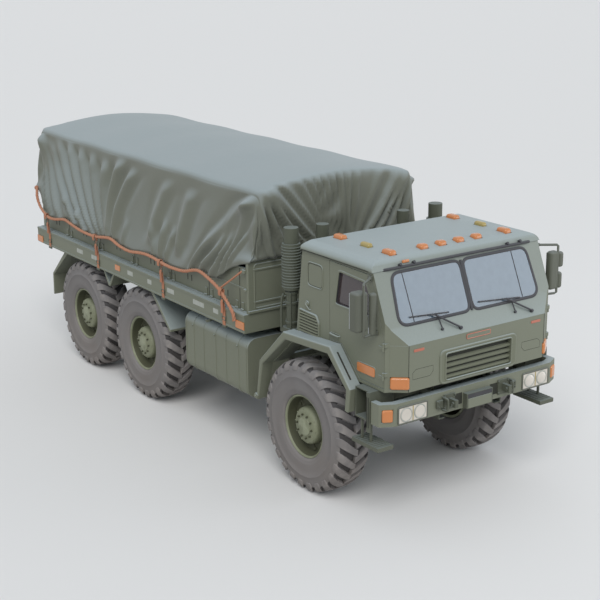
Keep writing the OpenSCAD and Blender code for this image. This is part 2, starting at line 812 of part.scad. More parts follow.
module fuel_tank() color(body_green) {
    rounded_tank(tank_x, tank_y, tank_z, 120);
    for (x = tank_strap_x) {
        rounded_tank([x - 25, x + 25], [tank_y[0] - 6, tank_y[1] + 6], [tank_z[0] - 6, tank_z[1] + 6], 126);
        block([x - 25, x + 25], [tank_y[1], -rail_outer_y], [1090, 1290]);
    }
}

module battery_box() color(body_green) {
    block([700, 1440], [640, 1160], [760, 1380]);
    block([690, 1450], [1160, 1176], [780, 1360]);
    for (x = [800, 1300])
        block([x - 30, x + 30], [rail_outer_y, 640], [1090, 1290]);
}

air_tank_rows = [[1010, 1180], [700, 1180]];

module air_tanks() color(frame_green) {
    for (row = air_tank_rows)
        bar_x(row[0], row[1], 130, [-180, 600]);
    for (x = [-60, 460])
        block([x - 25, x + 25], [rail_outer_y, 1010], [1130, 1210]);
}

// Stacks: x, y, foot radius, shroud radius, shroud foot, shroud top, cap radius, cap top.
stack_rows = [[2060, 1000, 60, 100, 2130, 2630, 80, 2800], [2020, 560, 60, 70, 2130, 2630, 70, 2770]];
deck_x = [1950, 2160];
deck_z = [1640, 1700];

module stacks() color(frame_green) {
    block(deck_x, [-1080, 1080], deck_z);
    both_sides() {
        block([1990, 2120], [rail_inner_y, rail_outer_y], [rail_top_z, deck_z[0]]);
        for (row = stack_rows) {
            translate([row[0], row[1], deck_z[1]])
                cylinder(r = row[2], h = row[4] - deck_z[1]);
            translate([row[0], row[1], row[4]])
                cylinder(r = row[3], h = row[5] - row[4]);
            translate([row[0], row[1], row[5]])
                cylinder(r = row[6], h = row[7] - row[5]);
        }
    }
}

// ---- Load bed ----

bearer_x = [1350, 700, 0, -705, -1250, -1857.5, -2450, -3130, -3700];
hinge_x = -3918;
hinge_z = 1765;
hinge_y = [-800, -270, 270, 800];
hinge_pin_r = 8;
floor_z = [1700, 1740];

module bed_frame() color(body_green) {
    both_sides() {
        block([bed_rear_x, 1450], [rail_inner_y, rail_outer_y], [rail_top_z, bed_rail_bottom_z]);
        block([bed_rear_x, bed_front_x], [1190, bed_half_w], [bed_rail_bottom_z, bed_rail_top_z]);
    }
    for (x = bearer_x)
        block([x - 30, x + 30], [-1190, 1190], [bed_rail_bottom_z, floor_z[0]]);
    for (x = [[bed_front_x - 60, bed_front_x], [bed_rear_x, bed_rear_x + 60]])
        block(x, [-1190, 1190], [bed_rail_bottom_z, floor_z[0]]);
    block([bed_rear_x, bed_front_x], [-1190, 1190], floor_z);
    for (y = hinge_y) {
        for (s = [-26, 14])
            block([hinge_x - 16, hinge_x + 16], [y + s, y + s + 12], [floor_z[1] - 10, hinge_z + 14]);
        bar_y(hinge_x, hinge_z, hinge_pin_r, [y - 26, y + 26]);
    }
}

headboard_top_z = 2330;
board_outer_y = 1160;

module bed_boards() color(body_green) {
    block([bed_front_x - 50, bed_front_x], [-1190, 1190], [floor_z[1], headboard_top_z]);
    both_sides()
        block([-3900, bed_front_x - 50], [board_outer_y - board_t, board_outer_y], [floor_z[1], board_top_z]);
}

module tailgate() color(body_green) {
    difference() {
        union() {
            block([hinge_x + 3, hinge_x + 48], [-1100, 1100], [hinge_z - 5, board_top_z]);
            for (y = hinge_y)
                bar_y(hinge_x, hinge_z, 16, [y - 12, y + 12]);
        }
        for (y = hinge_y) {
            bar_y(hinge_x, hinge_z, hinge_pin_r + running_gap, [y - 60, y + 60]);
            for (s = [-34, 12])
                block([hinge_x - 30, hinge_x + 25], [y + s, y + s + 22], [hinge_z - 30, hinge_z + 25]);
        }
    }
}

// Half section of the covered load, moved inwards by d: y, z.
function cover_half(d, foot) = [[1245 - 0.164 * (foot - 2000) - 1.013 * d, foot], [1075 - d, 3040 - 0.45 * d],
    [1030 - 0.75 * d, 3100 - 0.95 * d], [700 - 0.15 * d, 3165 - d], [0.01, 3230 - d]];
cover_x = [-4020, 1540];
bow_x = [-3700, -2450, -1250, 0, 1250];

module tarp_bows() color(frame_green)
    for (x = bow_x)
        difference() {
            end_plate(mirrored(cover_half(tarp_t + 2, board_top_z)), [x - 20, x + 20]);
            end_plate(mirrored(cover_half(tarp_t + 42, board_top_z - 1)), [x - 21, x + 21]);
        }

module tarpaulin() color(tarp_green)
    difference() {
        end_plate(mirrored(cover_half(0, tarp_hem_z)), cover_x);
        end_plate(mirrored(cover_half(tarp_t, tarp_hem_z - 1)), [cover_x[0] + tarp_t, cover_x[1] - tarp_t]);
        // Lower edge rises to the headboard, and hangs short at both ends.
        side_plate([[900, 1900], [1600, 1900], [1600, 2345], [1400, 2325], [1223, 2250], [963, 2095],
            [900, 1999]], [-1300, 1300]);
        block([1490, 1600], [-1300, 1300], [1900, 2340]);
        side_plate([[-4100, 1900], [-3800, 1900], [-3800, 1999], [-3960, 2275], [-4100, 2275]], [-1300, 1300]);
    }

// Rear mudguards in side view: x, z.
guard_ahead = [[-730, 1520], [-680, 1520], [-262, 1110], [-262, 1080], [-292, 1080], [-730, 1495]];
guard_between = [[-2030, 1520], [-1985, 1520], [-1857, 1345], [-1729, 1520], [-1684, 1520], [-1835, 1310],
    [-1880, 1310]];
guard_behind = [[-3105, 1520], [-3160, 1520], [-3612, 1110], [-3622, 800], [-3592, 800], [-3583, 1095],
    [-3105, 1480]];

module rear_mudguards() color(body_green)
    both_sides()
        for (g = [guard_ahead, guard_between, guard_behind])
            side_plate(g, [805, 1200]);

// Rope along each side: x, z.
rope_y = 1283;
rope_route = [[-3803, 2203], [-3750, 2091], [-3600, 1995], [-3426, 1947], [-3197, 1969], [-2944, 2024],
    [-2754, 1991], [-2421, 1948], [-2012, 1950], [-1780, 1995], [-1569, 2017], [-1384, 1962], [-1088, 1940],
    [-850, 1980], [-612, 2001], [-319, 1976], [-125, 1956], [257, 1972], [450, 2035], [606, 2066],
    [819, 2015], [1041, 1945], [1200, 1830], [1325, 1729], [1340, 1640]];
strap_x = [-3506, -2031, -303, 1088];
strap_y = [1250, 1259];
strap_z = [1600, 1990];

function flat_dir(p, i) = let (a = p[max(i - 1, 0)], b = p[min(i + 1, len(p) - 1)], d = b - a) d / norm(d);
function ring_at(p, i) = let (d = flat_dir(p, i)) [for (k = [0:rope_sides - 1])
    let (c = rope_r * cos(k * 360 / rope_sides), s = rope_r * sin(k * 360 / rope_sides))
    [p[i][0] - d[1] * c, rope_y + s, p[i][1] + d[0] * c]];

module rope_tube(p) {
    n = len(p);
    polyhedron(
        points = [for (i = [0:n - 1]) each ring_at(p, i)],
        faces = concat(
            [[for (k = [rope_sides - 1:-1:0]) k]],
            [for (i = [0:n - 2]) for (k = [0:rope_sides - 1])
                let (a = i * rope_sides + k, b = i * rope_sides + (k + 1) % rope_sides)
                each [[a, b, b + rope_sides], [a, b + rope_sides, a + rope_sides]]],
            [[for (k = [0:rope_sides - 1]) (n - 1) * rope_sides + k]]),
        convexity = 4);
}

module lashing() color(rope_orange)
    both_sides() {
        rope_tube(rope_route);
        for (x = strap_x)
            block([x - 28, x + 28], strap_y, strap_z);
    }

module tail_lamps() color(amber)
    both_sides()
        block([bed_rear_x - 25, bed_rear_x], [900, 1120], [1560, 1680]);

chassis_frame();
front_axle();
middle_axle();
rear_axle();
leaf_springs();
engine_and_radiator();
transfer_drive();
knuckle_left();
knuckle_right();
tie_rod();
tyre_front_left();
tyre_front_right();
tyre_middle_left();
tyre_middle_right();
tyre_rear_left();
tyre_rear_right();
rim_front_left();
rim_front_right();
rim_middle_left();
rim_middle_right();
rim_rear_left();
rim_rear_right();
front_bumper();
headlamps();
amber_lamps();
front_tow_gear();
cab_body();
cab_front();
cab_roof();
windscreen();
door_left();
door_right();
door_glass_left();
door_glass_right();
mirror_left();
mirror_right();
front_grille();
dashboard();
seat_bases();
seat_cushions();
steering_wheel();
front_mudguards();
cab_steps();
fuel_tank();
battery_box();
air_tanks();
stacks();
bed_frame();
bed_boards();
tailgate();
tarp_bows();
tarpaulin();
rear_mudguards();
lashing();
tail_lamps();
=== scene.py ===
# %% [markdown]
# # A six-wheel cargo truck
# The truck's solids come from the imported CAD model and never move. This notebook
# dresses them: it rounds the pressed steel, cuts the tyres' tread, hangs the canvas
# cover on its bows and lashes it down, and gives every surface its own finish.

# %% Load the frame
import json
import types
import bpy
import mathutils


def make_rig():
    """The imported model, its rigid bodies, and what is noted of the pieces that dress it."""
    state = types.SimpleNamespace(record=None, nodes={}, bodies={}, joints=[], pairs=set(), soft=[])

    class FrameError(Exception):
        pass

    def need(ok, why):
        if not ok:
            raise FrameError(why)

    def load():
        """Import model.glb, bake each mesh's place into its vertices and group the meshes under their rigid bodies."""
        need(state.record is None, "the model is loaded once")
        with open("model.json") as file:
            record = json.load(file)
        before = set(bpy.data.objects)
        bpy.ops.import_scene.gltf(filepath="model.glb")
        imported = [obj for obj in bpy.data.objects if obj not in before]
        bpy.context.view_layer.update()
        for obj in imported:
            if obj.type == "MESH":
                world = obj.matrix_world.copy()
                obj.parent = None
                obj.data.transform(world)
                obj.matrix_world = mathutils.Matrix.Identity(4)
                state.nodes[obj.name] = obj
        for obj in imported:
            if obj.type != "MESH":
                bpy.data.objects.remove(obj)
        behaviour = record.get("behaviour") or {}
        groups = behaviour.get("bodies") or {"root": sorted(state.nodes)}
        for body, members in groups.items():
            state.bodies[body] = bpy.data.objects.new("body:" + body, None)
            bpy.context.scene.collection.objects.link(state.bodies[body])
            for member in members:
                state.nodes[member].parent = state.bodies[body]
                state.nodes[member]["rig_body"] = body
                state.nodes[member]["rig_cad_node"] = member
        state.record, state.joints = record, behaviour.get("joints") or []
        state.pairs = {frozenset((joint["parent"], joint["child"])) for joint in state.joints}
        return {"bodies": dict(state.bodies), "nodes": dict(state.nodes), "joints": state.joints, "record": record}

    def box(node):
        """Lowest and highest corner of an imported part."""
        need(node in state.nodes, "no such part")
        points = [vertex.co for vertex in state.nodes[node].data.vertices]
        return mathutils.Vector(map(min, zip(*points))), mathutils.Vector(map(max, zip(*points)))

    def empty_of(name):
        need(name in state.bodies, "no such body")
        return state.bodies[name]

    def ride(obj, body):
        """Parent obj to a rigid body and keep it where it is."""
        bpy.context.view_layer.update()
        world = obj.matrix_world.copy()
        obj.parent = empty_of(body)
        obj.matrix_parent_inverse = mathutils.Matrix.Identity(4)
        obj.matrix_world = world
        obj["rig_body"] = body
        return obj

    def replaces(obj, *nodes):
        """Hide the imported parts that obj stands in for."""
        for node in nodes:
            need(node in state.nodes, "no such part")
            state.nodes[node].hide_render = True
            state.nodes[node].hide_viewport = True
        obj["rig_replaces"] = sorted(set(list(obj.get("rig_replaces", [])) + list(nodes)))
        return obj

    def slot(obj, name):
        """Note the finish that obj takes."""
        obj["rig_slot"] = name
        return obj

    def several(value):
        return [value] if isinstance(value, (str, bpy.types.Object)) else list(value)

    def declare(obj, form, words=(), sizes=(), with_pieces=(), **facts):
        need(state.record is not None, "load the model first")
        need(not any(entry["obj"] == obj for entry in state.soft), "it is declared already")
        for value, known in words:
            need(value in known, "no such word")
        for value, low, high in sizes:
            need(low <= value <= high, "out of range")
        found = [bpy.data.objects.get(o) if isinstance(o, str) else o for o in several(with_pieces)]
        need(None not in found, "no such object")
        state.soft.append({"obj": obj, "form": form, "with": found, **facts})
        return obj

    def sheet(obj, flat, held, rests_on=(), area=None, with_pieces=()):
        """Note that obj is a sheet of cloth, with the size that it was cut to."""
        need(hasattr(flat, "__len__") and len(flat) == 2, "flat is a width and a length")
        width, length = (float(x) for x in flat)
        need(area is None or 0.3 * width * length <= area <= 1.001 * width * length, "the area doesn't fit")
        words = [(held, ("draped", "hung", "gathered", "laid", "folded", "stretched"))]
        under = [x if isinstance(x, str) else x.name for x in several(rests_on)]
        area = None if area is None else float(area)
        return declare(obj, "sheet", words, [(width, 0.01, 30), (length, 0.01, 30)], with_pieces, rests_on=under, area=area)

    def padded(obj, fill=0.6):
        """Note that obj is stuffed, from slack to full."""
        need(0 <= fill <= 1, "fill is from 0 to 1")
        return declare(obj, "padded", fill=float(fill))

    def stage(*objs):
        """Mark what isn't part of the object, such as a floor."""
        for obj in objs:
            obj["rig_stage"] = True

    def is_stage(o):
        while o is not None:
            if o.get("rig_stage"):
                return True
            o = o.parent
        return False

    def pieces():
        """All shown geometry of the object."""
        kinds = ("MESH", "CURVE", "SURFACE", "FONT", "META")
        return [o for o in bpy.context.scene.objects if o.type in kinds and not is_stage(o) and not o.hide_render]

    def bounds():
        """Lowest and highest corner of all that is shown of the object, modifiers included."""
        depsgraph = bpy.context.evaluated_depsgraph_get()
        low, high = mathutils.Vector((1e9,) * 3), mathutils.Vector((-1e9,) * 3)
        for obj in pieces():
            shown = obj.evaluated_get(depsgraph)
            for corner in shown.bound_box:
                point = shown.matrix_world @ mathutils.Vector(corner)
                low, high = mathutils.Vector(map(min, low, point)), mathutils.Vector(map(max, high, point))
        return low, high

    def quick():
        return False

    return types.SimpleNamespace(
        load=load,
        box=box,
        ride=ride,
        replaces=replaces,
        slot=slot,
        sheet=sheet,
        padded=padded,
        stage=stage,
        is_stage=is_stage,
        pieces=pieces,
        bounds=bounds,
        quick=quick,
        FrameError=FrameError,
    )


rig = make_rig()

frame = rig.load()
import json
import math
import bpy
import bmesh
from mathutils import Matrix, Vector, noise
cad_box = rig.bounds()
print("CAD box", [round(v, 3) for v in (*cad_box[0], *cad_box[1])])
bodies_of = {n: b for b, ns in frame["record"]["behaviour"]["bodies"].items() for n in ns}
slots_of = {s["node"]: s["material_slot"] for s in frame["record"]["subparts"]}

# %% [markdown]
# ## Camera
# A long lens from the front right corner, a little above the cab's roof, so that the
# side of the load bed and the whole front show at once. The horizon leans half a
# degree, as a hand-held camera's does.

# %% Camera
aim = Vector((0.7705, 0.0094, 1.521))
eye = Vector((13.264, -8.726, 5.986))
lean = math.radians(-0.531)
camera = bpy.data.objects.new("camera", bpy.data.cameras.new("camera"))
bpy.context.scene.collection.objects.link(camera)
forward = (aim - eye).normalized()
right = forward.cross(Vector((0, 0, 1))).normalized()
above = right.cross(forward)
right, above = (right * math.cos(lean) + above * math.sin(lean),
                above * math.cos(lean) - right * math.sin(lean))
camera.matrix_world = Matrix.Translation(eye) @ Matrix((right, above, -forward)).transposed().to_4x4()
camera.data.sensor_width = 36.0
camera.data.lens = 79.41
camera.data.clip_end = 200.0
bpy.context.scene.camera = camera
print("camera", [round(v, 2) for v in eye])

# %% [markdown]
# ## Floor and light
# A pale floor and a pale world behind it, both only as bright as white paper. The
# light is a broad soft sun from over the camera's shoulder and a bigger share from
# the sky, which is how matt paint is best read.

# %% Floor and light
def pale_when_seen(tree, lit, seen, out_socket):
    """Shows a plain pale colour to the camera and to mirrors, and the lit one to the rest."""
    rays = tree.nodes.new("ShaderNodeLightPath")
    either = tree.nodes.new("ShaderNodeMath")
    either.operation = "MAXIMUM"
    third = tree.nodes.new("ShaderNodeMath")
    third.operation = "MAXIMUM"
    tree.links.new(rays.outputs["Is Camera Ray"], either.inputs[0])
    tree.links.new(rays.outputs["Is Glossy Ray"], either.inputs[1])
    tree.links.new(either.outputs[0], third.inputs[0])
    tree.links.new(rays.outputs["Is Transmission Ray"], third.inputs[1])
    mix = tree.nodes.new("ShaderNodeMixShader")
    tree.links.new(third.outputs[0], mix.inputs[0])
    tree.links.new(lit, mix.inputs[1])
    tree.links.new(seen, mix.inputs[2])
    tree.links.new(mix.outputs[0], out_socket)


world = bpy.data.worlds.new("studio")
bpy.context.scene.world = world
world.use_nodes = True
wt = world.node_tree
wt.nodes.clear()
sky = wt.nodes.new("ShaderNodeBackground")
sky.inputs["Color"].default_value = (0.90, 0.95, 1.0, 1)
sky.inputs["Strength"].default_value = 0.62
paper = wt.nodes.new("ShaderNodeBackground")
paper.inputs["Color"].default_value = (0.83, 0.84, 0.85, 1)
pale_when_seen(wt, sky.outputs[0], paper.outputs[0],
               wt.nodes.new("ShaderNodeOutputWorld").inputs["Surface"])


def lamp(name, kind, place, energy, size, colour=(1, 1, 1)):
    data = bpy.data.lights.new(name, kind)
    data.energy, data.color = energy, colour
    if kind == "SUN":
        data.angle = size
    else:
        data.size = size
    obj = bpy.data.objects.new(name, data)
    obj.location = place
    obj.rotation_mode = "QUATERNION"
    obj.rotation_quaternion = (Vector((0, 0, 1.2)) - Vector(place)).to_track_quat("-Z", "Y")
    bpy.context.scene.collection.objects.link(obj)


lamp("key_sun", "SUN", (7.5, -6.0, 11.0), 1.75, math.radians(35), (1.0, 0.985, 0.96))
lamp("fill", "AREA", (10.0, 8.0, 3.5), 260, 6.0, (0.95, 0.97, 1.0))


def deselect():
    if bpy.context.object and bpy.context.object.mode != "OBJECT":
        bpy.ops.object.mode_set(mode="OBJECT")
    bpy.ops.object.select_all(action="DESELECT")


deselect()
bpy.ops.mesh.primitive_plane_add(size=400, location=(0, 0, 0))
floor = bpy.context.object
floor.name = "floor"
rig.stage(floor)
floor_look = bpy.data.materials.new("floor")
floor_look.use_nodes = True
ft = floor_look.node_tree
ft.nodes["Principled BSDF"].inputs["Base Color"].default_value = (0.72, 0.72, 0.72, 1)
ft.nodes["Principled BSDF"].inputs["Roughness"].default_value = 0.9
floor.data.materials.append(floor_look)
bpy.context.scene.view_settings.view_transform = "Standard"
print("lamps", [o.name for o in bpy.data.objects if o.type == "LIGHT"])

# %% [markdown]
# ## Finishes
# Military paint is matt and never one colour: it holds dust low down and is paler on
# its sharp edges, and faces that look up get painted sky light, a paler and bluer colour.
# Each finish here is one shader with these layers: slow patches, fine grain, painted sky
# light by the way a face looks, and pale edges.

# %% A builder for layered finishes
def mix_colour(tree, amount, a, b, blend="MIX"):
    m = tree.nodes.new("ShaderNodeMix")
    m.data_type, m.blend_type = "RGBA", blend
    for socket, value in ((m.inputs[0], amount), (m.inputs[6], a), (m.inputs[7], b)):
        if hasattr(value, "links"):
            tree.links.new(value, socket)
        elif isinstance(value, (int, float)):
            socket.default_value = value
        else:
            socket.default_value = (*value, 1)
    return m.outputs[2]


def ramp(tree, value, low, high, top=1.0):
    r = tree.nodes.new("ShaderNodeMapRange")
    tree.links.new(value, r.inputs["Value"])
    r.inputs["From Min"].default_value, r.inputs["From Max"].default_value = low, high
    r.inputs["To Min"].default_value, r.inputs["To Max"].default_value = 0.0, top
    return r.outputs["Result"]


def grain(tree, where, scale, detail=4.0, stretch=(1, 1, 1)):
    m = tree.nodes.new("ShaderNodeMapping")
    m.inputs["Scale"].default_value = stretch
    tree.links.new(where, m.inputs["Vector"])
    n = tree.nodes.new("ShaderNodeTexNoise")
    n.inputs["Scale"].default_value, n.inputs["Detail"].default_value = scale, detail
    tree.links.new(m.outputs[0], n.inputs["Vector"])
    return n.outputs["Fac"]


def times(tree, a, b):
    m = tree.nodes.new("ShaderNodeMath")
    m.operation = "MULTIPLY"
    for socket, value in ((m.inputs[0], a), (m.inputs[1], b)):
        if hasattr(value, "links"):
            tree.links.new(value, socket)
        else:
            socket.default_value = value
    return m.outputs[0]


def finish_look(name, colour, dark, painted_skylight, dust, rough, patch=0.9, fine=60.0, painted_skylight_share=0.6,
                dust_share=0.35, edge=None, bump=0.002, sheen=0.0, metallic=0.0, streak=(1, 1, 0.35)):
    """colour and dark are the two tones of the patches, the third colour is painted sky light on faces that look up,
    dust lies low.
    """
    look = bpy.data.materials.new(name)
    look.use_nodes = True
    t = look.node_tree
    b = t.nodes["Principled BSDF"]
    co = t.nodes.new("ShaderNodeTexCoord").outputs["Object"]
    base = mix_colour(t, ramp(t, grain(t, co, patch, 5.0, streak), 0.30, 0.75), colour, dark)
    geometry = t.nodes.new("ShaderNodeNewGeometry")
    split = t.nodes.new("ShaderNodeSeparateXYZ")
    t.links.new(geometry.outputs["Normal"], split.inputs[0])
    # Painted sky light: faces that look up are mixed towards the paler, bluer third colour.
    up = ramp(t, split.outputs["Z"], 0.08, 0.95, painted_skylight_share)
    base = mix_colour(t, up, base, painted_skylight)
    height = t.nodes.new("ShaderNodeSeparateXYZ")
    t.links.new(co, height.inputs[0])
    low = ramp(t, height.outputs["Z"], 1.5, 0.2, dust_share)
    base = mix_colour(t, times(t, low, ramp(t, grain(t, co, 1.7, 5.0), 0.15, 0.85)), base, dust)
    if edge:
        # Paler on sharp edges: pointy vertices, broken up by noise, take the edge colour.
        sharp_edge_pale = times(t, ramp(t, geometry.outputs["Pointiness"], 0.515, 0.60, 0.75),
                    ramp(t, grain(t, co, 9.0, 3.0), 0.42, 0.60))
        base = mix_colour(t, sharp_edge_pale, base, edge)
    fine_grain = grain(t, co, fine, 3.0)
    base = mix_colour(t, ramp(t, fine_grain, 0.2, 0.8, 0.10), base, tuple(0.55 * v for v in colour))
    t.links.new(base, b.inputs["Base Color"])
    spread = t.nodes.new("ShaderNodeMapRange")
    t.links.new(grain(t, co, 9.0, 4.0), spread.inputs["Value"])
    spread.inputs["To Min"].default_value = rough - 0.04
    spread.inputs["To Max"].default_value = min(rough + 0.06, 1.0)
    t.links.new(spread.outputs["Result"], b.inputs["Roughness"])
    b.inputs["Metallic"].default_value = metallic
    b.inputs["Specular IOR Level"].default_value = 0.35
    if sheen:
        b.inputs["Sheen Weight"].default_value = sheen
        b.inputs["Sheen Roughness"].default_value = 0.6
    if bump:
        n = t.nodes.new("ShaderNodeBump")
        n.inputs["Strength"].default_value = 0.35
        n.inputs["Distance"].default_value = bump
        t.links.new(fine_grain, n.inputs["Height"])
        t.links.new(n.outputs[0], b.inputs["Normal"])
    return look


# %% The truck's finishes
DUST = (0.30, 0.27, 0.22)
# The third colour of each finish is its painted sky light, for faces that look up.
looks = {
    "body_paint": finish_look("body_paint", (0.164, 0.175, 0.130), (0.157, 0.168, 0.124), (0.335, 0.395, 0.415),
                              DUST, 0.50, painted_skylight_share=0.92, dust_share=0.12),
    "slat_paint": finish_look("slat_paint", (0.145, 0.155, 0.110), (0.135, 0.145, 0.102), (0.20, 0.215, 0.165),
                              DUST, 0.55, painted_skylight_share=0.5, dust_share=0.0),
    "frame_paint": finish_look("frame_paint", (0.088, 0.096, 0.070), (0.074, 0.082, 0.060), (0.20, 0.235, 0.235),
                               DUST, 0.60, painted_skylight_share=0.6, dust_share=0.15),
    "wheel_paint": finish_look("wheel_paint", (0.185, 0.200, 0.128), (0.150, 0.164, 0.104), (0.25, 0.275, 0.20),
                               (0.24, 0.22, 0.15), 0.5, patch=6.0, painted_skylight_share=0.4, edge=(0.32, 0.34, 0.24)),
    # Painted shade: the rim's colour at a third of its brightness, for the rim's well and hub recess.
    "wheel_well": finish_look("wheel_well", (0.062, 0.066, 0.036), (0.045, 0.048, 0.027), (0.11, 0.115, 0.075),
                              (0.08, 0.075, 0.05), 0.6, patch=6.0, painted_skylight_share=0.4),
    "tyre_rubber": finish_look("tyre_rubber", (0.178, 0.171, 0.170), (0.150, 0.142, 0.140), (0.26, 0.26, 0.275),
                               (0.205, 0.165, 0.135), 0.82, patch=2.5, fine=140.0, painted_skylight_share=0.45,
                               dust_share=0.55, edge=(0.33, 0.30, 0.28), bump=0.001),
    # Painted shade: the rubber's colour at a third of its brightness, for the grooves between the lugs.
    "groove_painted_shade": finish_look("groove_painted_shade", (0.060, 0.057, 0.057), (0.045, 0.043, 0.044), (0.10, 0.10, 0.11),
                                (0.085, 0.068, 0.055), 0.85, patch=2.5, fine=140.0, dust_share=0.5),
    "tarp_canvas": finish_look("tarp_canvas", (0.138, 0.146, 0.116), (0.124, 0.132, 0.106), (0.295, 0.350, 0.372),
                               DUST, 0.62, patch=0.7, fine=420.0, painted_skylight_share=0.9, dust_share=0.0,
                               bump=0.0006, sheen=0.12),
    "rope_fibre": finish_look("rope_fibre", (0.42, 0.185, 0.105), (0.34, 0.145, 0.085), (0.52, 0.30, 0.21),
                              DUST, 0.8, patch=8.0, fine=300.0, painted_skylight_share=0.5, dust_share=0.0, bump=0.0015),
    "engine_iron": finish_look("engine_iron", (0.055, 0.055, 0.052), (0.04, 0.04, 0.038), (0.09, 0.09, 0.09),
                               DUST, 0.6, patch=4.0, metallic=0.3),
    "cab_plastic": finish_look("cab_plastic", (0.060, 0.062, 0.058), (0.05, 0.052, 0.048), (0.085, 0.09, 0.085),
                               DUST, 0.7, fine=300.0, dust_share=0.0),
    "seat_cloth": finish_look("seat_cloth", (0.10, 0.11, 0.085), (0.08, 0.088, 0.07), (0.12, 0.13, 0.11),
                              DUST, 0.9, fine=500.0, dust_share=0.0, sheen=0.3),
    "dark_plastic": finish_look("dark_plastic", (0.105, 0.112, 0.088), (0.088, 0.094, 0.074), (0.20, 0.225, 0.23),
                                DUST, 0.55, patch=5.0, painted_skylight_share=0.5),
    "black_rubber": finish_look("black_rubber", (0.048, 0.047, 0.052), (0.036, 0.036, 0.041),
                                (0.085, 0.092, 0.105), DUST, 0.55, patch=6.0, dust_share=0.0),
    "seam_dark": finish_look("seam_dark", (0.032, 0.034, 0.026), (0.026, 0.028, 0.021), (0.045, 0.05, 0.042),
                             DUST, 0.8, patch=6.0, dust_share=0.0),
    "pale_mark": finish_look("pale_mark", (0.40, 0.41, 0.38), (0.29, 0.31, 0.27), (0.48, 0.50, 0.48),
                             DUST, 0.6, patch=14.0, dust_share=0.0),
}


def clear_look(name, colour, rough=0.08, alpha=1.0, glow=0.0, transmission=0.0):
    look = bpy.data.materials.new(name)
    look.use_nodes = True
    t = look.node_tree
    b = t.nodes["Principled BSDF"]
    co = t.nodes.new("ShaderNodeTexCoord").outputs["Object"]
    tint = mix_colour(t, ramp(t, grain(t, co, 14.0, 4.0), 0.3, 0.7), colour, tuple(0.93 * v for v in colour))
    t.links.new(tint, b.inputs["Base Color"])
    b.inputs["Roughness"].default_value = rough
    b.inputs["Alpha"].default_value = alpha
    b.inputs["Transmission Weight"].default_value = transmission
    b.inputs["Coat Weight"].default_value = 0.4
    if glow:
        b.inputs["Emission Color"].default_value = (*colour, 1)
        b.inputs["Emission Strength"].default_value = glow
    return look


looks["window_glass"] = clear_look("window_glass", (0.140, 0.190, 0.240), 0.07, 0.93)
looks["side_glass"] = clear_look("side_glass", (0.060, 0.046, 0.048), 0.05, 0.90)
looks["lamp_glass"] = clear_look("lamp_glass", (0.56, 0.52, 0.46), 0.18)
looks["amber_plastic"] = clear_look("amber_plastic", (0.52, 0.185, 0.055), 0.24)
looks["yellow_plastic"] = clear_look("yellow_plastic", (0.36, 0.28, 0.09), 0.3)
looks["red_plastic"] = clear_look("red_plastic", (0.42, 0.12, 0.07), 0.3)
silver = bpy.data.materials.new("mirror_silver")
silver.use_nodes = True
silver_tree = silver.node_tree
silver_shader = silver_tree.nodes["Principled BSDF"]
silver_shader.inputs["Metallic"].default_value = 1.0
smear = grain(silver_tree, silver_tree.nodes.new("ShaderNodeTexCoord").outputs["Object"], 20.0, 3.0)
silver_tree.links.new(mix_colour(silver_tree, ramp(silver_tree, smear, 0.3, 0.7), (0.62, 0.65, 0.68), (0.50, 0.53, 0.56)),
                      silver_shader.inputs["Base Color"])
silver_tree.links.new(ramp(silver_tree, smear, 0.2, 0.9, 0.16), silver_shader.inputs["Roughness"])
looks["mirror_silver"] = silver
print("finishes", len(looks))

# %% [markdown]
# ## Tools for this build
# Four small helpers do what a hand would repeat: `dress` names a piece and hangs it
# on its body, `rounded_copy` takes a CAD panel, welds it and rounds its edges as
# pressed sheet is rounded, `drawn_out` extrudes a face through a list of rings, and
# `spun` turns a section round an axle.

# %% Dressing and rounding
def dress(obj, name, body, look, slot=None, stands_for=()):
    obj.name = name
    obj.data.name = name
    obj.data.materials.clear()
    obj.data.materials.append(looks[look])
    for p in obj.data.polygons:
        p.material_index = 0
    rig.ride(obj, body)
    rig.slot(obj, slot or look)
    if stands_for:
        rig.replaces(obj, *([stands_for] if isinstance(stands_for, str) else stands_for))
    return obj


def settle(obj):
    """Puts the object at the origin, with its place in its mesh."""
    deselect()
    obj.select_set(True)
    bpy.context.view_layer.objects.active = obj
    bpy.ops.object.transform_apply(location=True, rotation=True, scale=True)
    return obj


def apply_all(obj):
    deselect()
    obj.select_set(True)
    bpy.context.view_layer.objects.active = obj
    for m in list(obj.modifiers):
        bpy.ops.object.modifier_apply(modifier=m.name)
    return obj


def round_edges(obj, width, segments=2, angle=32.0, smooth=True):
    bevel = obj.modifiers.new("round", "BEVEL")
    bevel.width, bevel.segments = width, segments
    bevel.limit_method, bevel.angle_limit = "ANGLE", math.radians(angle)
    apply_all(obj)
    if smooth:
        bpy.ops.object.shade_smooth_by_angle(angle=math.radians(38))
        even = obj.modifiers.new("even", "WEIGHTED_NORMAL")
        even.keep_sharp = True
        apply_all(obj)
    return obj


def welded_copy(node):
    source = frame["nodes"][node]
    obj = bpy.data.objects.new(node + "_piece", source.data.copy())
    bpy.context.scene.collection.objects.link(obj)
    deselect()
    obj.select_set(True)
    bpy.context.view_layer.objects.active = obj
    bpy.ops.object.mode_set(mode="EDIT")
    bpy.ops.mesh.select_all(action="SELECT")
    bpy.ops.mesh.remove_doubles(threshold=0.0002)
    bpy.ops.mesh.dissolve_limited(angle_limit=math.radians(0.8))
    bpy.ops.object.mode_set(mode="OBJECT")
    return obj


def repaint(obj, look, chosen):
    """Gives the faces whose middle chosen(point) accepts a second finish."""
    obj.data.materials.append(looks[look])
    for p in obj.data.polygons:
        if chosen(p.center):
            p.material_index = len(obj.data.materials) - 1


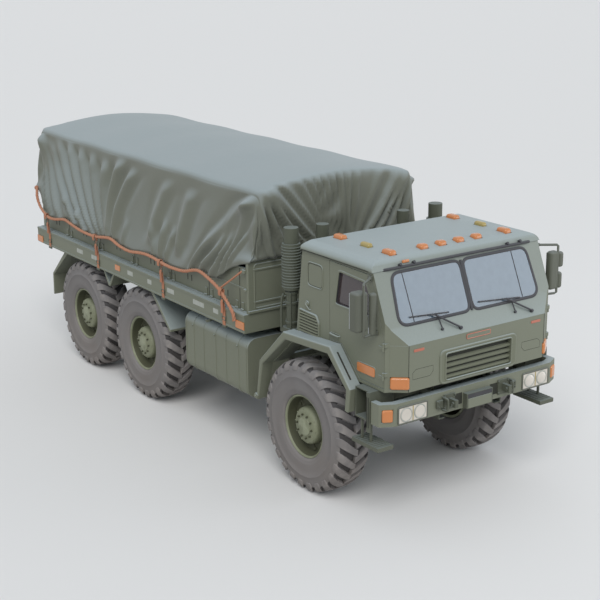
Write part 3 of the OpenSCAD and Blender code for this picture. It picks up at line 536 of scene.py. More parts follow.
def ease(obj, width, segments, chosen):
    """Rounds only those edges that chosen(a, b, fold) accepts; fold is the angle across the edge in degrees."""
    deselect()
    obj.select_set(True)
    bpy.context.view_layer.objects.active = obj
    bpy.ops.object.mode_set(mode="EDIT")
    bpy.context.tool_settings.mesh_select_mode = (False, True, False)
    bpy.ops.mesh.select_all(action="DESELECT")
    bm = bmesh.from_edit_mesh(obj.data)
    for e in bm.edges:
        fold = math.degrees(e.calc_face_angle(0.0))
        e.select_set(fold > 15 and chosen(e.verts[0].co, e.verts[1].co, fold))
    bpy.ops.mesh.bevel(offset=width, segments=segments, affect="EDGES", clamp_overlap=True)
    bpy.context.tool_settings.mesh_select_mode = (True, False, False)
    bpy.ops.object.mode_set(mode="OBJECT")


def rounded_copy(node, width, look=None, segments=2, angle=32.0, name=None, eased=None):
    obj = welded_copy(node)
    if eased:
        ease(obj, *eased)
    round_edges(obj, width, segments, angle)
    return dress(obj, name or node + "_shell", bodies_of[node], look or slots_of[node],
                 slots_of[node], node)


def slab(name, x, y, z, width=0.004, segments=2):
    """A box from its limits, with rounded edges; the start of many small fittings."""
    deselect()
    bpy.ops.mesh.primitive_cube_add(size=1, location=((x[0] + x[1]) / 2, (y[0] + y[1]) / 2, (z[0] + z[1]) / 2),
                                    scale=(x[1] - x[0], y[1] - y[0], z[1] - z[0]))
    obj = bpy.context.object
    obj.name = name
    settle(obj)
    if width:
        round_edges(obj, width, segments)
    return obj


def rod(name, a, b, radius, sides=24, bevel=0.0):
    a, b = Vector(a), Vector(b)
    deselect()
    bpy.ops.mesh.primitive_cylinder_add(radius=radius, depth=(b - a).length, vertices=sides,
                                        location=(a + b) / 2,
                                        rotation=(b - a).to_track_quat("Z", "Y").to_euler())
    obj = bpy.context.object
    obj.name = name
    settle(obj)
    if bevel:
        round_edges(obj, bevel, 2, 50)
    else:
        bpy.ops.object.shade_smooth_by_angle(angle=math.radians(38))
    return obj


def joined(parts):
    deselect()
    for p in parts:
        p.select_set(True)
    bpy.context.view_layer.objects.active = parts[0]
    bpy.ops.object.join()
    return parts[0]


def another(obj, ending="copy"):
    copy = bpy.data.objects.new(f"{obj.name}_{ending}", obj.data.copy())
    bpy.context.scene.collection.objects.link(copy)
    return copy


def twin(obj):
    """A copy for the other side of the truck, with its own mesh, turned right side out."""
    copy = another(obj, "twin")
    copy.data.transform(Matrix.Scale(-1, 4, Vector((0, 1, 0))))
    copy.data.flip_normals()
    return copy


def both(parts):
    return parts + [twin(p) for p in parts]


# %% Drawing out and spinning
def drawn_out(name, rings, closed=False, smooth=40):
    """Extrudes a face through rings of points, each ring with the same number of points."""
    deselect()
    bpy.ops.mesh.primitive_circle_add(vertices=len(rings[0]), radius=1, fill_type="NOTHING" if closed else "NGON")
    obj = bpy.context.object
    obj.name = name
    for v, p in zip(obj.data.vertices, rings[0]):
        v.co = p
    bpy.ops.object.mode_set(mode="EDIT")
    bpy.ops.mesh.select_all(action="SELECT")
    before = [Vector(p) for p in rings[0]]
    for ring in rings[1:]:
        if closed:
            bpy.ops.mesh.extrude_edges_move()
        else:
            bpy.ops.mesh.extrude_region_move()
        bm = bmesh.from_edit_mesh(obj.data)
        fresh = sorted((v for v in bm.verts if v.select), key=lambda v: v.index)
        for v in fresh:
            k = min(range(len(before)), key=lambda i: (before[i] - v.co).length_squared)
            v.co = ring[k]
        bmesh.update_edit_mesh(obj.data)
        before = [Vector(p) for p in ring]
    bpy.ops.mesh.select_all(action="SELECT")
    if closed:
        bpy.ops.mesh.remove_doubles(threshold=0.00005)
    bpy.ops.mesh.normals_make_consistent(inside=False)
    bpy.ops.object.mode_set(mode="OBJECT")
    settle(obj)
    bpy.ops.object.shade_smooth_by_angle(angle=math.radians(smooth))
    return obj


def tube(name, route, radius, sides=10, flat=1.0):
    """A bent bar: a ring carried along a route of points."""
    pts = [Vector(p) for p in route]
    side = None
    rings = []
    for i, p in enumerate(pts):
        d = (pts[min(i + 1, len(pts) - 1)] - pts[max(i - 1, 0)]).normalized()
        if side is None:
            side = d.orthogonal().normalized()
        side = (side - d * side.dot(d)).normalized()
        up = d.cross(side)
        rings.append([p + radius * (side * math.cos(a) + up * math.sin(a) * flat)
                      for a in (2 * math.pi * k / sides for k in range(sides))])
    return drawn_out(name, rings)


def softened(points, rounds=2):
    """Cuts the corners of a route, so a bent bar has bends and not kinks."""
    pts = [Vector(p) for p in points]
    for _ in range(rounds):
        new = [pts[0]]
        for a, b in zip(pts, pts[1:]):
            new += [a.lerp(b, 0.25), a.lerp(b, 0.75)]
        pts = new + [pts[-1]]
    return pts


def spun(name, section, centre, steps=72, smooth=35):
    """Turns a closed section of (radius, distance along Y) round an axle along Y."""
    deselect()
    bpy.ops.mesh.primitive_circle_add(vertices=len(section), radius=1)
    obj = bpy.context.object
    obj.name = name
    for v, (r, w) in zip(obj.data.vertices, section):
        v.co = (0, w, r)
    bpy.ops.object.mode_set(mode="EDIT")
    bpy.ops.mesh.select_all(action="SELECT")
    bpy.ops.mesh.spin(steps=steps, angle=2 * math.pi, center=(0, 0, 0), axis=(0, 1, 0), dupli=False)
    bpy.ops.mesh.select_all(action="SELECT")
    bpy.ops.mesh.remove_doubles(threshold=0.0001)
    bpy.ops.mesh.normals_make_consistent(inside=False)
    bpy.ops.object.mode_set(mode="OBJECT")
    obj.data.transform(Matrix.Translation(centre))
    settle(obj)
    bpy.ops.object.shade_smooth_by_angle(angle=math.radians(smooth))
    return obj


def turned_copies(obj, centre, axis, count):
    """Joins copies of one piece, evenly turned about an axis."""
    shapes = [obj]
    for k in range(1, count):
        turn = (Matrix.Translation(centre) @ Matrix.Rotation(2 * math.pi * k / count, 4, axis)
                @ Matrix.Translation(-Vector(centre)))
        shapes.append(another(obj, str(k)))
        shapes[-1].data.transform(turn)
    return joined(shapes)

# %% [markdown]
# ## Wheels
# The tyres are for soft ground: deep chevron lugs that lean back from the middle of
# the tread and wrap over the shoulders. The carcass is a section spun round the axle;
# one lug is drawn out across half the tread and copied round. The rim is spun too,
# with its well, flange ring and hub drum, and carries a ring of nuts.

# %% Tyre
AXLE_Z = 0.729
HALF_SECTION = [(0.332, 0.149), (0.3495, 0.1500), (0.3500, 0.1690), (0.362, 0.182), (0.382, 0.1915),
                (0.395, 0.1925), (0.400, 0.1965), (0.42, 0.1980), (0.47, 0.2005), (0.540, 0.2005),
                (0.545, 0.2050), (0.553, 0.2050), (0.558, 0.2000), (0.60, 0.1970), (0.635, 0.190),
                (0.660, 0.179), (0.678, 0.160), (0.686, 0.130), (0.690, 0.060), (0.691, 0.001)]
section = HALF_SECTION + [(r, -w) for r, w in reversed(HALF_SECTION)]
tyre = spun("tyre", section, (0, 0, 0), steps=96, smooth=50)

# Half a chevron: distance from the middle, outer radius, inner radius, angle back, half width.
LUG = [(-0.012, 0.7285, 0.684, 0.0, 0.034), (0.040, 0.7290, 0.684, 2.4, 0.038), (0.090, 0.7265, 0.684, 5.6, 0.043),
       (0.135, 0.7210, 0.680, 8.6, 0.048), (0.168, 0.7080, 0.660, 10.6, 0.052), (0.190, 0.6830, 0.640, 11.8, 0.050),
       (0.2005, 0.6520, 0.618, 12.4, 0.045), (0.2010, 0.6220, 0.600, 12.6, 0.036)]
PITCH = 2 * math.pi / 26
lug_rings = []
for w, r_out, r_in, back, half in LUG:
    a = -math.radians(back)
    ring = []
    for r, s in ((r_in, -1.25), (r_out, -1), (r_out, 1), (r_in, 1.25)):
        b = a + s * half / 0.70
        shift = w if r == r_out else w - (0.022 if w > 0.16 else 0.0)
        ring.append(Vector((r * math.sin(b), shift, r * math.cos(b))))
    lug_rings.append(ring)
lug = drawn_out("lug", lug_rings)
round_edges(lug, 0.0045, 2, 30)
lug_far = twin(lug)
lug_far.data.transform(Matrix.Rotation(PITCH / 2, 4, "Y"))
tread = turned_copies(joined([lug, lug_far]), (0, 0, 0), "Y", 26)
tyre = joined([tyre, tread])
print("tyre", len(tyre.data.polygons))

# %% Rim
rim_line = [(0.331, 0.149), (0.3480, 0.1495), (0.3495, 0.160), (0.3465, 0.1675), (0.3370, 0.1695),
            (0.3290, 0.163), (0.3240, 0.150), (0.3185, 0.120), (0.3150, 0.085), (0.3060, 0.068),
            (0.3020, 0.050), (0.290, 0.0465), (0.240, 0.0465), (0.218, 0.050), (0.207, 0.060),
            (0.2045, 0.100), (0.2005, 0.122), (0.1890, 0.139), (0.1700, 0.149), (0.150, 0.1535),
            (0.1120, 0.1555), (0.1060, 0.1575), (0.1020, 0.1640), (0.0960, 0.1660), (0.0002, 0.1660), (0.0002, 0.106), (0.0455, 0.105), (0.0455, -0.008),
            (0.130, -0.008), (0.150, 0.020), (0.300, 0.022), (0.313, 0.005), (0.3185, -0.05),
            (0.3185, -0.1675), (0.3480, -0.1675), (0.3480, -0.151), (0.331, -0.149)]
rim = spun("rim", rim_line, (0, 0, 0), steps=72, smooth=32)
rim.data.materials.append(looks["wheel_paint"])


def ring_of(parts, count):
    return turned_copies(joined(parts), (0, 0, 0), "Y", count)


nut = rod("nut", (0, 0.150, 0.131), (0, 0.171, 0.131), 0.0125, 6, 0.003)
stud = rod("stud", (0, 0.168, 0.131), (0, 0.178, 0.131), 0.0065, 10, 0.0015)
nuts = ring_of([nut, stud], 10)
plate_bolts = ring_of([rod("plate_bolt", (0, 0.134, 0.181), (0, 0.1500, 0.184), 0.0070, 6, 0.002)], 10)
clamp_nuts = ring_of([rod("clamp_nut", (0, 0.044, 0.268), (0, 0.070, 0.268), 0.0150, 6, 0.003)], 10)
valve = rod("valve", (0.040, 0.048, 0.300), (0.034, 0.115, 0.292), 0.006, 10, 0.001)
bits = [nuts, plate_bolts, clamp_nuts, valve]
for b in bits:
    b.data.materials.clear()
    b.data.materials.append(looks["wheel_paint"])
rib = drawn_out("rib", [[Vector((x, 0.046, z)) for x, z in ((-0.012, 0.222), (0.012, 0.222), (0.014, 0.298), (-0.014, 0.298))],
                        [Vector((x, 0.060, z)) for x, z in ((-0.005, 0.212), (0.005, 0.212), (0.006, 0.296), (-0.006, 0.296))]])
rib.data.transform(Matrix.Rotation(PITCH / 2, 4, "Y"))
ribs = ring_of([rib], 10)
ribs.data.materials.append(looks["wheel_paint"])
wheel_rim = joined([rim, ribs] + bits)
print("rim", len(wheel_rim.data.polygons))

# %% Six wheels
for place, axle_x in (("front", 2.5), ("middle", -1.05), ("rear", -2.665)):
    for side, sign in (("left", 1), ("right", -1)):
        centre = sum((Vector(c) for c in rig.box(f"tyre_{place}_{side}")), Vector()) / 2
        turn = Matrix.Rotation(math.radians(11 * axle_x + 5 * sign), 4, "Y")
        tyre_copy = another(tyre)
        tyre_copy.data.transform(Matrix.Translation((centre.x, centre.y, AXLE_Z)) @ turn)
        dress(tyre_copy, f"tyre_tread_{place}_{side}", f"wheel_{place}_{side}", "tyre_rubber",
              "tyre_rubber", f"tyre_{place}_{side}")
        # Painted shade in the grooves between the lugs.
        repaint(tyre_copy, "groove_painted_shade",
                lambda p, c=centre: 0.664 < math.hypot(p.x - c.x, p.z - AXLE_Z) < 0.6935 and abs(p.y - c.y) < 0.176)
        rim_copy = twin(wheel_rim) if side == "right" else another(wheel_rim)
        rim_copy.data.transform(Matrix.Translation((centre.x, centre.y, AXLE_Z)) @ turn)
        dress(rim_copy, f"rim_hub_{place}_{side}", f"wheel_{place}_{side}", "wheel_paint",
              "wheel_paint", f"rim_{place}_{side}")
        # Painted shade on the rim's well and round the hub.
        repaint(rim_copy, "wheel_well",
                lambda p, c=centre: 0.2065 < math.hypot(p.x - c.x, p.z - AXLE_Z) < 0.3235 and abs(p.y - c.y) < 0.140
                or 0.1170 < math.hypot(p.x - c.x, p.z - AXLE_Z) < 0.1450 and abs(p.y - c.y) > 0.1575)
bpy.data.objects.remove(tyre)
bpy.data.objects.remove(wheel_rim)
print("wheels done")

# %% [markdown]
# ## Pressed steel
# Sheet panels and castings are never knife-edged. Each painted node below is taken as
# a welded copy and its edges are rounded by what its own thickness allows: millimetres
# on boards and brackets, a centimetre or more on the bumper and the cab's corners.

# %% Rounding the painted nodes
def level(a, b):
    return abs(a.z - b.z) < 0.4 * (a - b).length


# Broad roundings made first: width, steps, and which edges take them.
BROAD = {"front_bumper": (0.060, 4, lambda a, b, fold: abs(a.y) > 0.95 and abs(b.y) > 0.95 and not level(a, b)),
         "cab_roof": (0.045, 4, lambda a, b, fold: min(a.z, b.z) > 2.66 and abs(a.x - b.x) > 0.3),
         "front_mudguards": (0.028, 4, lambda a, b, fold: fold > 60 and min(abs(a.y), abs(b.y)) > 1.24
                             and (a - b).length > 0.15)}
for node, width, segments in (
        ("cab_body", 0.009, 2), ("cab_front", 0.010, 2), ("cab_roof", 0.010, 2), ("door_left", 0.004, 2),
        ("door_right", 0.004, 2), ("front_bumper", 0.016, 3), ("front_mudguards", 0.009, 2),
        ("front_grille", 0.004, 2), ("battery_box", 0.014, 3), ("bed_frame", 0.007, 2),
        ("bed_boards", 0.006, 2), ("tailgate", 0.006, 2), ("rear_mudguards", 0.006, 2),
        ("cab_steps", 0.006, 2), ("front_tow_gear", 0.005, 2), ("stacks", 0.004, 2), ("fuel_tank", 0.004, 2), ("air_tanks", 0.006, 2),
        ("dashboard", 0.012, 2), ("seat_bases", 0.006, 2), ("chassis_frame", 0.003, 1)):
    shell = rounded_copy(node, width, {"front_grille": "slat_paint", "stacks": "frame_paint"}.get(node), segments,
                         eased=BROAD.get(node))
    print(node, len(shell.data.polygons), end="; ")
print()

# Each lamp is rounded on its own, so that the small ones don't limit the large ones.
lamps = welded_copy("amber_lamps")
deselect()
lamps.select_set(True)
bpy.context.view_layer.objects.active = lamps
bpy.ops.mesh.separate(type="LOOSE")
lamps = list(bpy.context.selected_objects)
for lamp in lamps:
    round_edges(lamp, 0.40 * min(lamp.dimensions), 4, 32)
lamps = joined(lamps)
dress(lamps, "amber_lamps_shell", "truck", "amber_plastic", "amber_plastic", "amber_lamps")
repaint(lamps, "yellow_plastic", lambda p: 2.97 < p.x < 3.15 and p.z > 2.7)

# %% [markdown]
# ## The canvas cover
# One sheet of heavy canvas goes over five bows and hangs down both sides and both
# ends. A rope pulls its hem in at four ties a side, so the slack gathers there and
# runs up the sides in long folds. The sheet is a grid bent over the bows, with its
# folds drawn as ridges, and then it is let go: cloth simulation with the hem and the
# crown held, over a solid that stands for the load, settles it under its own weight.

# %% The cover's lines
REAR_X, NOSE_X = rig.box("tarpaulin")[0][0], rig.box("tarpaulin")[1][0]
HEM = [(-4.10, 2.275), (-3.96, 2.275), (-3.80, 2.203), (-3.75, 2.091), (-3.60, 1.995), (-3.426, 1.955),
       (-3.197, 1.972), (-2.944, 2.024), (-2.754, 1.991), (-2.421, 1.955), (-2.012, 1.955), (-1.78, 1.995),
       (-1.569, 2.017), (-1.384, 1.965), (-1.088, 1.950), (-0.85, 1.980), (-0.612, 2.001), (-0.319, 1.978),
       (-0.125, 1.960), (0.257, 1.975), (0.45, 2.035), (0.606, 2.062), (0.819, 2.02), (0.90, 2.01),
       (0.985, 2.09), (1.223, 2.222), (1.40, 2.290), (1.60, 2.340)]
ROOF = [(1.075, 3.040), (1.064, 3.072), (1.038, 3.098), (0.97, 3.121), (0.85, 3.142), (0.70, 3.164),
        (0.52, 3.187), (0.35, 3.204), (0.18, 3.216), (0.0, 3.221)]
TIES = [-3.506, -1.93, -0.303, 1.02]
BOWS = [-3.70, -2.45, -1.25, 0.0, 1.25]


def along(table, x):
    for (x0, z0), (x1, z1) in zip(table, table[1:]):
        if x <= x1:
            f = min(max((x - x0) / (x1 - x0), 0), 1)
            f = f * f * (3 - 2 * f)
            return z0 + (z1 - z0) * f
    return table[-1][1]


def eased(f):
    f = min(max(f, 0), 1)
    return f * f * (3 - 2 * f)


# Each fold of a side: where it starts under the roof, where it meets the hem, how far it
# bows rearwards on the way, its width, its height, and the share of the side it covers
# from below and from above.
FOLDS = [(-3.99, -3.66, .05, .060, .034, 0, 1), (-3.93, -3.46, .08, .070, .048, 0, 1),
         (-3.84, -3.16, .14, .085, .040, 0, .97), (-3.66, -2.70, .20, .100, .040, 0, .95),
         (-3.40, -2.38, .22, .095, .044, 0, .97), (-3.08, -2.14, .20, .085, .046, 0, .98),
         (-2.76, -1.98, .16, .078, .040, 0, .95), (-2.40, -1.87, .13, .074, .034, 0, .93),
         (-2.00, -1.77, .14, .078, .036, 0, .90), (-1.52, -1.70, .26, .092, .046, 0, .97),
         (-1.10, -1.56, .34, .098, .038, 0, .90), (-1.16, -1.34, .05, .062, .022, 0, .32),
         (-0.62, -0.54, .10, .062, .026, 0, .36), (-0.24, -0.40, .08, .058, .032, 0, .44),
         (0.12, -0.26, .08, .058, .032, 0, .42), (-0.25, -0.68, .24, .110, .030, .1, .9),
         (0.30, 0.02, .22, .120, .034, .1, .88), (1.44, 0.34, .10, .105, .044, 0, .98),
         (1.50, 0.58, .06, .086, .050, 0, .99), (1.54, 0.78, .03, .072, .046, 0, 1),
         (1.56, 0.95, .00, .062, .038, 0, .85), (1.66, 1.08, -.04, .058, .032, 0, .45),
         (-2.36, -2.60, .05, .070, .020, 0, .3), (-3.02, -3.00, .04, .070, .018, 0, .3)]


def side_fold(x, t, shift):
    """How far the side stands out at x and at t, the share of its height above the hem."""
    out = 0.0
    for top, foot, bow, width, height, low, high in FOLDS:
        line = foot + (top - foot) * t - bow * 4 * t * (1 - t) * 0.5 + shift * math.sin(9 * top)
        w = width * (0.55 + 0.9 * t)
        d = (x - line) / w
        if abs(d) > 3.2:
            continue
        fade = eased((high + 0.03 - t) / 0.16) * (1 if low == 0 else eased((t - low) / 0.15))
        out += 1.1 * height * fade * (math.exp(-d * d) - 0.42 * math.exp(-((abs(d) - 1.5) ** 2) * 1.6))
    return out


# %% The sheet over the bows
NX, N_SIDE, N_ROOF = (48, 11, 9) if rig.quick() else (88, 18, 25)
NU = 2 * (N_SIDE + N_ROOF)
deselect()
bpy.ops.mesh.primitive_grid_add(x_subdivisions=NX, y_subdivisions=NU, size=1)
cover = bpy.context.object
cover.name = "cover"


def over_bows(x, j):
    """The point of row j, counted from the right hem over the roof to the left hem."""
    left = 1 if j > NU // 2 else -1
    k = min(j, NU - j)
    hem = along(HEM, x)
    if k <= N_SIDE:
        t = k / N_SIDE
        z = hem + (3.040 - hem) * t
        foot_y = 1.245 - 0.164 * (hem - 2.0)
        y = foot_y + (1.075 - foot_y) * t
        y += 0.018 * math.sin(math.pi * t)
        out = side_fold(x, t, 0.05 * (left > 0)) * (0.55 + 0.45 * eased(1 - t))
        wave = noise.noise(Vector((x * 1.3, z * 1.7, 3.0 + 5 * left)))
        y += out + 0.016 * wave * math.sin(math.pi * t)
        z += 0.25 * out * t
        pinch = sum(math.exp(-((x - a) / 0.22) ** 2) for a in TIES)
        y -= 0.012 * pinch * (1 - t) ** 2
    else:
        f = (k - N_SIDE) / N_ROOF * (len(ROOF) - 1)
        i = min(int(f), len(ROOF) - 2)
        (y0, z0), (y1, z1) = ROOF[i], ROOF[i + 1]
        y, z = y0 + (y1 - y0) * (f - i), z0 + (z1 - z0) * (f - i)
        gap = min(abs(x - b) for b in BOWS)
        z -= 0.012 * math.sin(min(gap / 0.6, 1) * math.pi / 2) ** 2
    end = max(0, 1 - (NOSE_X - x) / 0.12, 1 - (x - REAR_X) / 0.12)
    if z > 2.95:
        z -= 0.010 * end * end
    return Vector((x, left * y, z))


for v in cover.data.vertices:
    i, j = round((v.co.x + 0.5) * NX), round((v.co.y + 0.5) * NU)
    x = REAR_X + 0.012 + (NOSE_X - REAR_X - 0.024) * i / NX
    v.co = over_bows(x, j)

# %% The two ends of the sheet
# Front folds: where each starts on the top edge, where it meets the lower edge, width, height.
END_FOLDS = [(-1.06, -0.66, .036, .050), (-1.03, -0.36, .042, .060), (-0.96, -0.16, .044, .052),
             (-0.80, -0.12, .036, .026), (-0.56, -0.09, .030, .022), (-0.40, -0.06, .026, .030),
             (-0.29, -0.03, .024, .036), (-0.18, 0.00, .023, .040), (-0.07, 0.04, .023, .040),
             (0.04, 0.08, .023, .038), (0.16, 0.13, .024, .030), (0.30, 0.19, .026, .022),
             (0.66, 0.24, .040, .018), (0.94, 0.30, .044, .044), (1.02, 0.46, .040, .054),
             (1.05, 0.66, .036, .044), (-1.10, -0.88, .036, .040), (1.09, 0.86, .036, .036)]


def end_fold(y, t):
    """How far an end stands out at y and at t, the share of its height above its hem."""
    out = 0.0
    for top, foot, width, height in END_FOLDS:
        line = foot + (top - foot) * t ** (0.8 if abs(top) > 0.9 else 1.1)
        d = (y - line) / (width * (0.75 + 0.75 * t))
        if abs(d) < 3.2:
            out += 1.1 * height * eased((1.0 - t) / 0.08) * (math.exp(-d * d) - 0.4 * math.exp(-((abs(d) - 1.5) ** 2) * 1.6))
    return out


def close_end(front):
    """Extrudes the sheet's end edge down to its hem in rows."""
    sign = 1 if front else -1
    edge_x = NOSE_X - 0.012 if front else REAR_X + 0.012
    low = 2.342 if front else 2.277
    bpy.ops.object.mode_set(mode="EDIT")
    bpy.context.tool_settings.mesh_select_mode = (False, True, False)
    bpy.ops.mesh.select_all(action="DESELECT")
    bm = bmesh.from_edit_mesh(cover.data)
    for e in bm.edges:
        e.select_set(e.is_boundary and all(abs(v.co.x - edge_x) < 1e-4 for v in e.verts))
    bm.select_flush_mode()
    start = [v.co.copy() for v in bm.verts if v.select]
    rows = 5 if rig.quick() else 10
    lines = []
    for p in start:
        # Each column goes straight down to the lower edge; those above 3.04 m are drawn in a little.
        share = eased((p.z - low) / (3.04 - low))
        y = p.y * (1.0 if p.z < 3.04 else 0.985)
        lines.append((p, Vector((p.x, y, min(low, p.z)))))
    before = [p.copy() for p in start]
    for r in range(1, rows + 1):
        bpy.ops.mesh.extrude_edges_move()
        bm = bmesh.from_edit_mesh(cover.data)
        new = []
        for v in (v for v in bm.verts if v.select):
            k = min(range(len(before)), key=lambda i: (before[i] - v.co).length_squared)
            top, foot = lines[k]
            p = top.lerp(foot, r / rows)
            t = max(p.z - low, 0) / (3.2 - low)
            p.x = edge_x + sign * (0.010 + end_fold(p.y * sign, t) * (0.6 + 0.4 * (1 - t)))
            new.append((k, p.copy(), v))
        for k, p, v in new:
            v.co = p
            before[k] = p
        bmesh.update_edit_mesh(cover.data)
    bpy.ops.mesh.select_all(action="SELECT")
    bpy.ops.mesh.remove_doubles(threshold=0.0008)
    bpy.ops.mesh.dissolve_degenerate(threshold=0.0005)
    bpy.ops.mesh.normals_make_consistent(inside=False)
    bpy.context.tool_settings.mesh_select_mode = (True, False, False)
    bpy.ops.object.mode_set(mode="OBJECT")


close_end(True)
close_end(False)
print("cover grid", len(cover.data.vertices))

# %% Letting the sheet settle
def half_ring(x, inset):
    pts = [(1.20 - inset, 2.02), (1.075 - inset, 3.04 - 0.5 * inset), (1.03 - inset, 3.095 - inset),
           (0.70, 3.160 - inset), (0.0001, 3.217 - inset)]
    return [(x, -y, z) for y, z in pts] + [(x, y, z) for y, z in reversed(pts[:-1])]


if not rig.quick():
    load = drawn_out("load", [half_ring(REAR_X + 0.07, 0.035), half_ring(NOSE_X - 0.07, 0.035)])
    load.modifiers.new("stop", "COLLISION")
    load.collision.thickness_outer = 0.004
    load.collision.cloth_friction = 12
    held = cover.vertex_groups.new(name="held")
    for v in cover.data.vertices:
        x, y, z = v.co
        hem = abs(z - along(HEM, x)) < 0.012 and abs(y) > 1.1
        end_hem = (x > NOSE_X - 0.08 and z < 2.346) or (x < REAR_X + 0.08 and z < 2.282)
        crown = z > 3.02 and REAR_X + 0.02 < x < NOSE_X - 0.02
        if hem or end_hem:
            held.add([v.index], 1.0, "REPLACE")
        elif crown:
            held.add([v.index], 0.9, "REPLACE")
    cloth = cover.modifiers.new("cloth", "CLOTH")
    s = cloth.settings
    s.quality = 6
    s.mass = 0.25
    s.tension_stiffness = s.compression_stiffness = 25
    s.shear_stiffness = 12
    s.bending_stiffness = 0.9
    s.air_damping = 2.0
    s.vertex_group_mass = "held"
    s.pin_stiffness = 8
    s.shrink_min = 0.0
    cloth.collision_settings.distance_min = 0.004
    cloth.collision_settings.collision_quality = 2
    cloth.point_cache.frame_end = 60
    for frame_number in range(1, 16):
        bpy.context.scene.frame_set(frame_number)
    apply_all(cover)
    bpy.data.objects.remove(load)
    bpy.context.scene.frame_set(1)
print("cover settled", [round(v, 3) for v in cover.dimensions])

# %% Thickness of the canvas
smoother = cover.modifiers.new("finer", "SUBSURF")
smoother.levels = smoother.render_levels = 1
apply_all(cover)
for v in cover.data.vertices:
    x, y, z = v.co
    sign = 1 if y > 0 else -1
    for way, low in ((1, 2.342), (-1, 2.277)):
        if way * x > way * (NOSE_X if way > 0 else REAR_X) - 0.05 and z < 3.16:
            t = min(max((z - low) / (3.2 - low), 0), 1)
            v.co.x += way * 1.0 * end_fold(way * y, t) * eased((1.10 - abs(y)) / 0.10)
    hem = along(HEM, x)
    if REAR_X + 0.06 < x < NOSE_X - 0.06 and z < 3.04:
        t = max((z - hem) / (3.04 - hem), 0)
        pressed = 0.30 + 0.70 * eased(t / 0.14)
        v.co.y += sign * 0.9 * pressed * side_fold(x, t, 0.05 * (sign > 0))
flat_area = sum(p.area for p in cover.data.polygons)
thick = cover.modifiers.new("thick", "SOLIDIFY")
thick.thickness, thick.offset = 0.006, 0
apply_all(cover)
bpy.ops.object.shade_smooth()
dress(cover, "cover", "truck", "tarp_canvas", "tarp_canvas", "tarpaulin")
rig.sheet(cover, flat=(4.9, 7.2), held="hung", area=round(flat_area, 1),
         rests_on=["tarp_bows", "bed_boards"])
print("cover area", round(flat_area, 2), "faces", len(cover.data.polygons))

# %% [markdown]
# ## Cab fittings
# The windscreen sits in rubber, with a wiper for each pane and four catches over it.
# The cab's sides carry a window rubber, a door handle, an amber reflector, a rounded
# access panel and an air intake with pressed slats. All are drawn for the right side
# and copied to the left.

# %% Loops of trim
def eased_corners(points, r, steps=4):
    out = []
    for i, p in enumerate(points):
        p, a, b = Vector(p), Vector(points[i - 1]), Vector(points[(i + 1) % len(points)])
        s = p + (a - p).normalized() * min(r, (a - p).length * 0.45)
        e = p + (b - p).normalized() * min(r, (b - p).length * 0.45)
        out += [s * (1 - t) ** 2 + p * 2 * t * (1 - t) + e * t * t for t in (k / steps for k in range(steps + 1))]
    return out


def hoop(name, loop, normal, wide, thick, sides=8):
    """A closed strip of trim, wide along the surface and thick away from it."""
    pts, n = [Vector(p) for p in loop], Vector(normal).normalized()
    rings = []
    for i, p in enumerate(pts):
        side = (pts[(i + 1) % len(pts)] - pts[i - 1]).normalized().cross(n).normalized()
        rings.append([p + n * thick * math.cos(a) + side * wide * math.sin(a)
                      for a in (2 * math.pi * (k + 0.5) / sides for k in range(sides))])
    return drawn_out(name, rings + [rings[0]], closed=True)


def oblong(a, b, r, place):
    """A rounded rectangle from two ranges, put in space by place(u, v)."""
    return [place(p.x, p.y) for p in eased_corners([(a[0], b[0], 0), (a[1], b[0], 0), (a[1], b[1], 0),
                                                    (a[0], b[1], 0)], r)]


def tile(name, loop, normal, depth, width=0.003):
    """A flat plate cut to a loop, rounded at its edge."""
    n = Vector(normal).normalized() * depth
    obj = drawn_out(name, [[Vector(p) for p in loop], [Vector(p) + n for p in loop]])
    if width:
        round_edges(obj, width, 2, 50)
    return obj


def side(u, v, out=0.0):
    return Vector((u, -1.1 - out, v))


def face(y, z, out=0.0):
    return Vector((3.920 + out, y, z))


GLASS_TILT = math.atan2(0.220, 0.540)


def glass(y, h, out=0.0):
    return Vector((3.810 - math.sin(GLASS_TILT) * h + math.cos(GLASS_TILT) * out, y,
                   2.110 + math.cos(GLASS_TILT) * h + math.sin(GLASS_TILT) * out))


OUT = (0, -1, 0)
FORWARD = (1, 0, 0)
GLASS_OUT = (math.cos(GLASS_TILT), 0, math.sin(GLASS_TILT))
DOOR = {"left": "cab_door_left", "right": "cab_door_right"}


def fit(parts, name, look, slot="body_paint", body="truck"):
    """Names one part made for the right side and its left copy; body may differ by side."""
    for side_name, piece in (("right", parts), ("left", twin(parts))):
        rides = f"{body}_{side_name}" if body == "cab_door" else body
        dress(piece, f"{name}_{side_name}", rides, look, slot)


# %% Windscreen rubber, wipers and catches
SURROUND = [(.058, .018), (.872, .018), (.932, .076), (.902, .492), (.848, .542), (.062, .542), (.020, .498), (.020, .070)]
fit(tile("pane_sheet", eased_corners([glass(-y, h, 0.0005) for y, h in SURROUND], 0.06), GLASS_OUT, 0.003, 0),
    "windscreen_pane", "window_glass", "window_glass")
fit(hoop("pane_surround", eased_corners([glass(-y, h, 0.001) for y, h in SURROUND], 0.06), GLASS_OUT, 0.017, 0.011),
    "pane_surround", "black_rubber", "dark_plastic")
post = tube("post", [glass(0, .02, 0.001), glass(0, .54, 0.001)], 0.016, 8)
dress(post, "pane_post", "truck", "black_rubber", "dark_plastic")
# Painted shadow: a dark rod just under the brow's rounded edge, standing for the shadow beneath it.
brow = tube("brow", softened([(3.560, -1.012, 2.640), (3.592, -0.965, 2.655), (3.604, -0.90, 2.657), (3.604, 0, 2.662),
                              (3.604, 0.90, 2.657), (3.592, 0.965, 2.655), (3.560, 1.012, 2.640)]), 0.016, 8)
dress(brow, "brow_painted_shadow", "truck", "black_rubber", "dark_plastic")
catches = []
for y in (-0.777, -0.604, 0.650, 0.827):
    catches += [rod("catch", (3.578, y, 2.668), (3.618, y, 2.690), 0.016, 16, 0.004),
                rod("catch_pin", (3.600, y, 2.680), (3.612, y, 2.652), 0.008, 12, 0.002)]
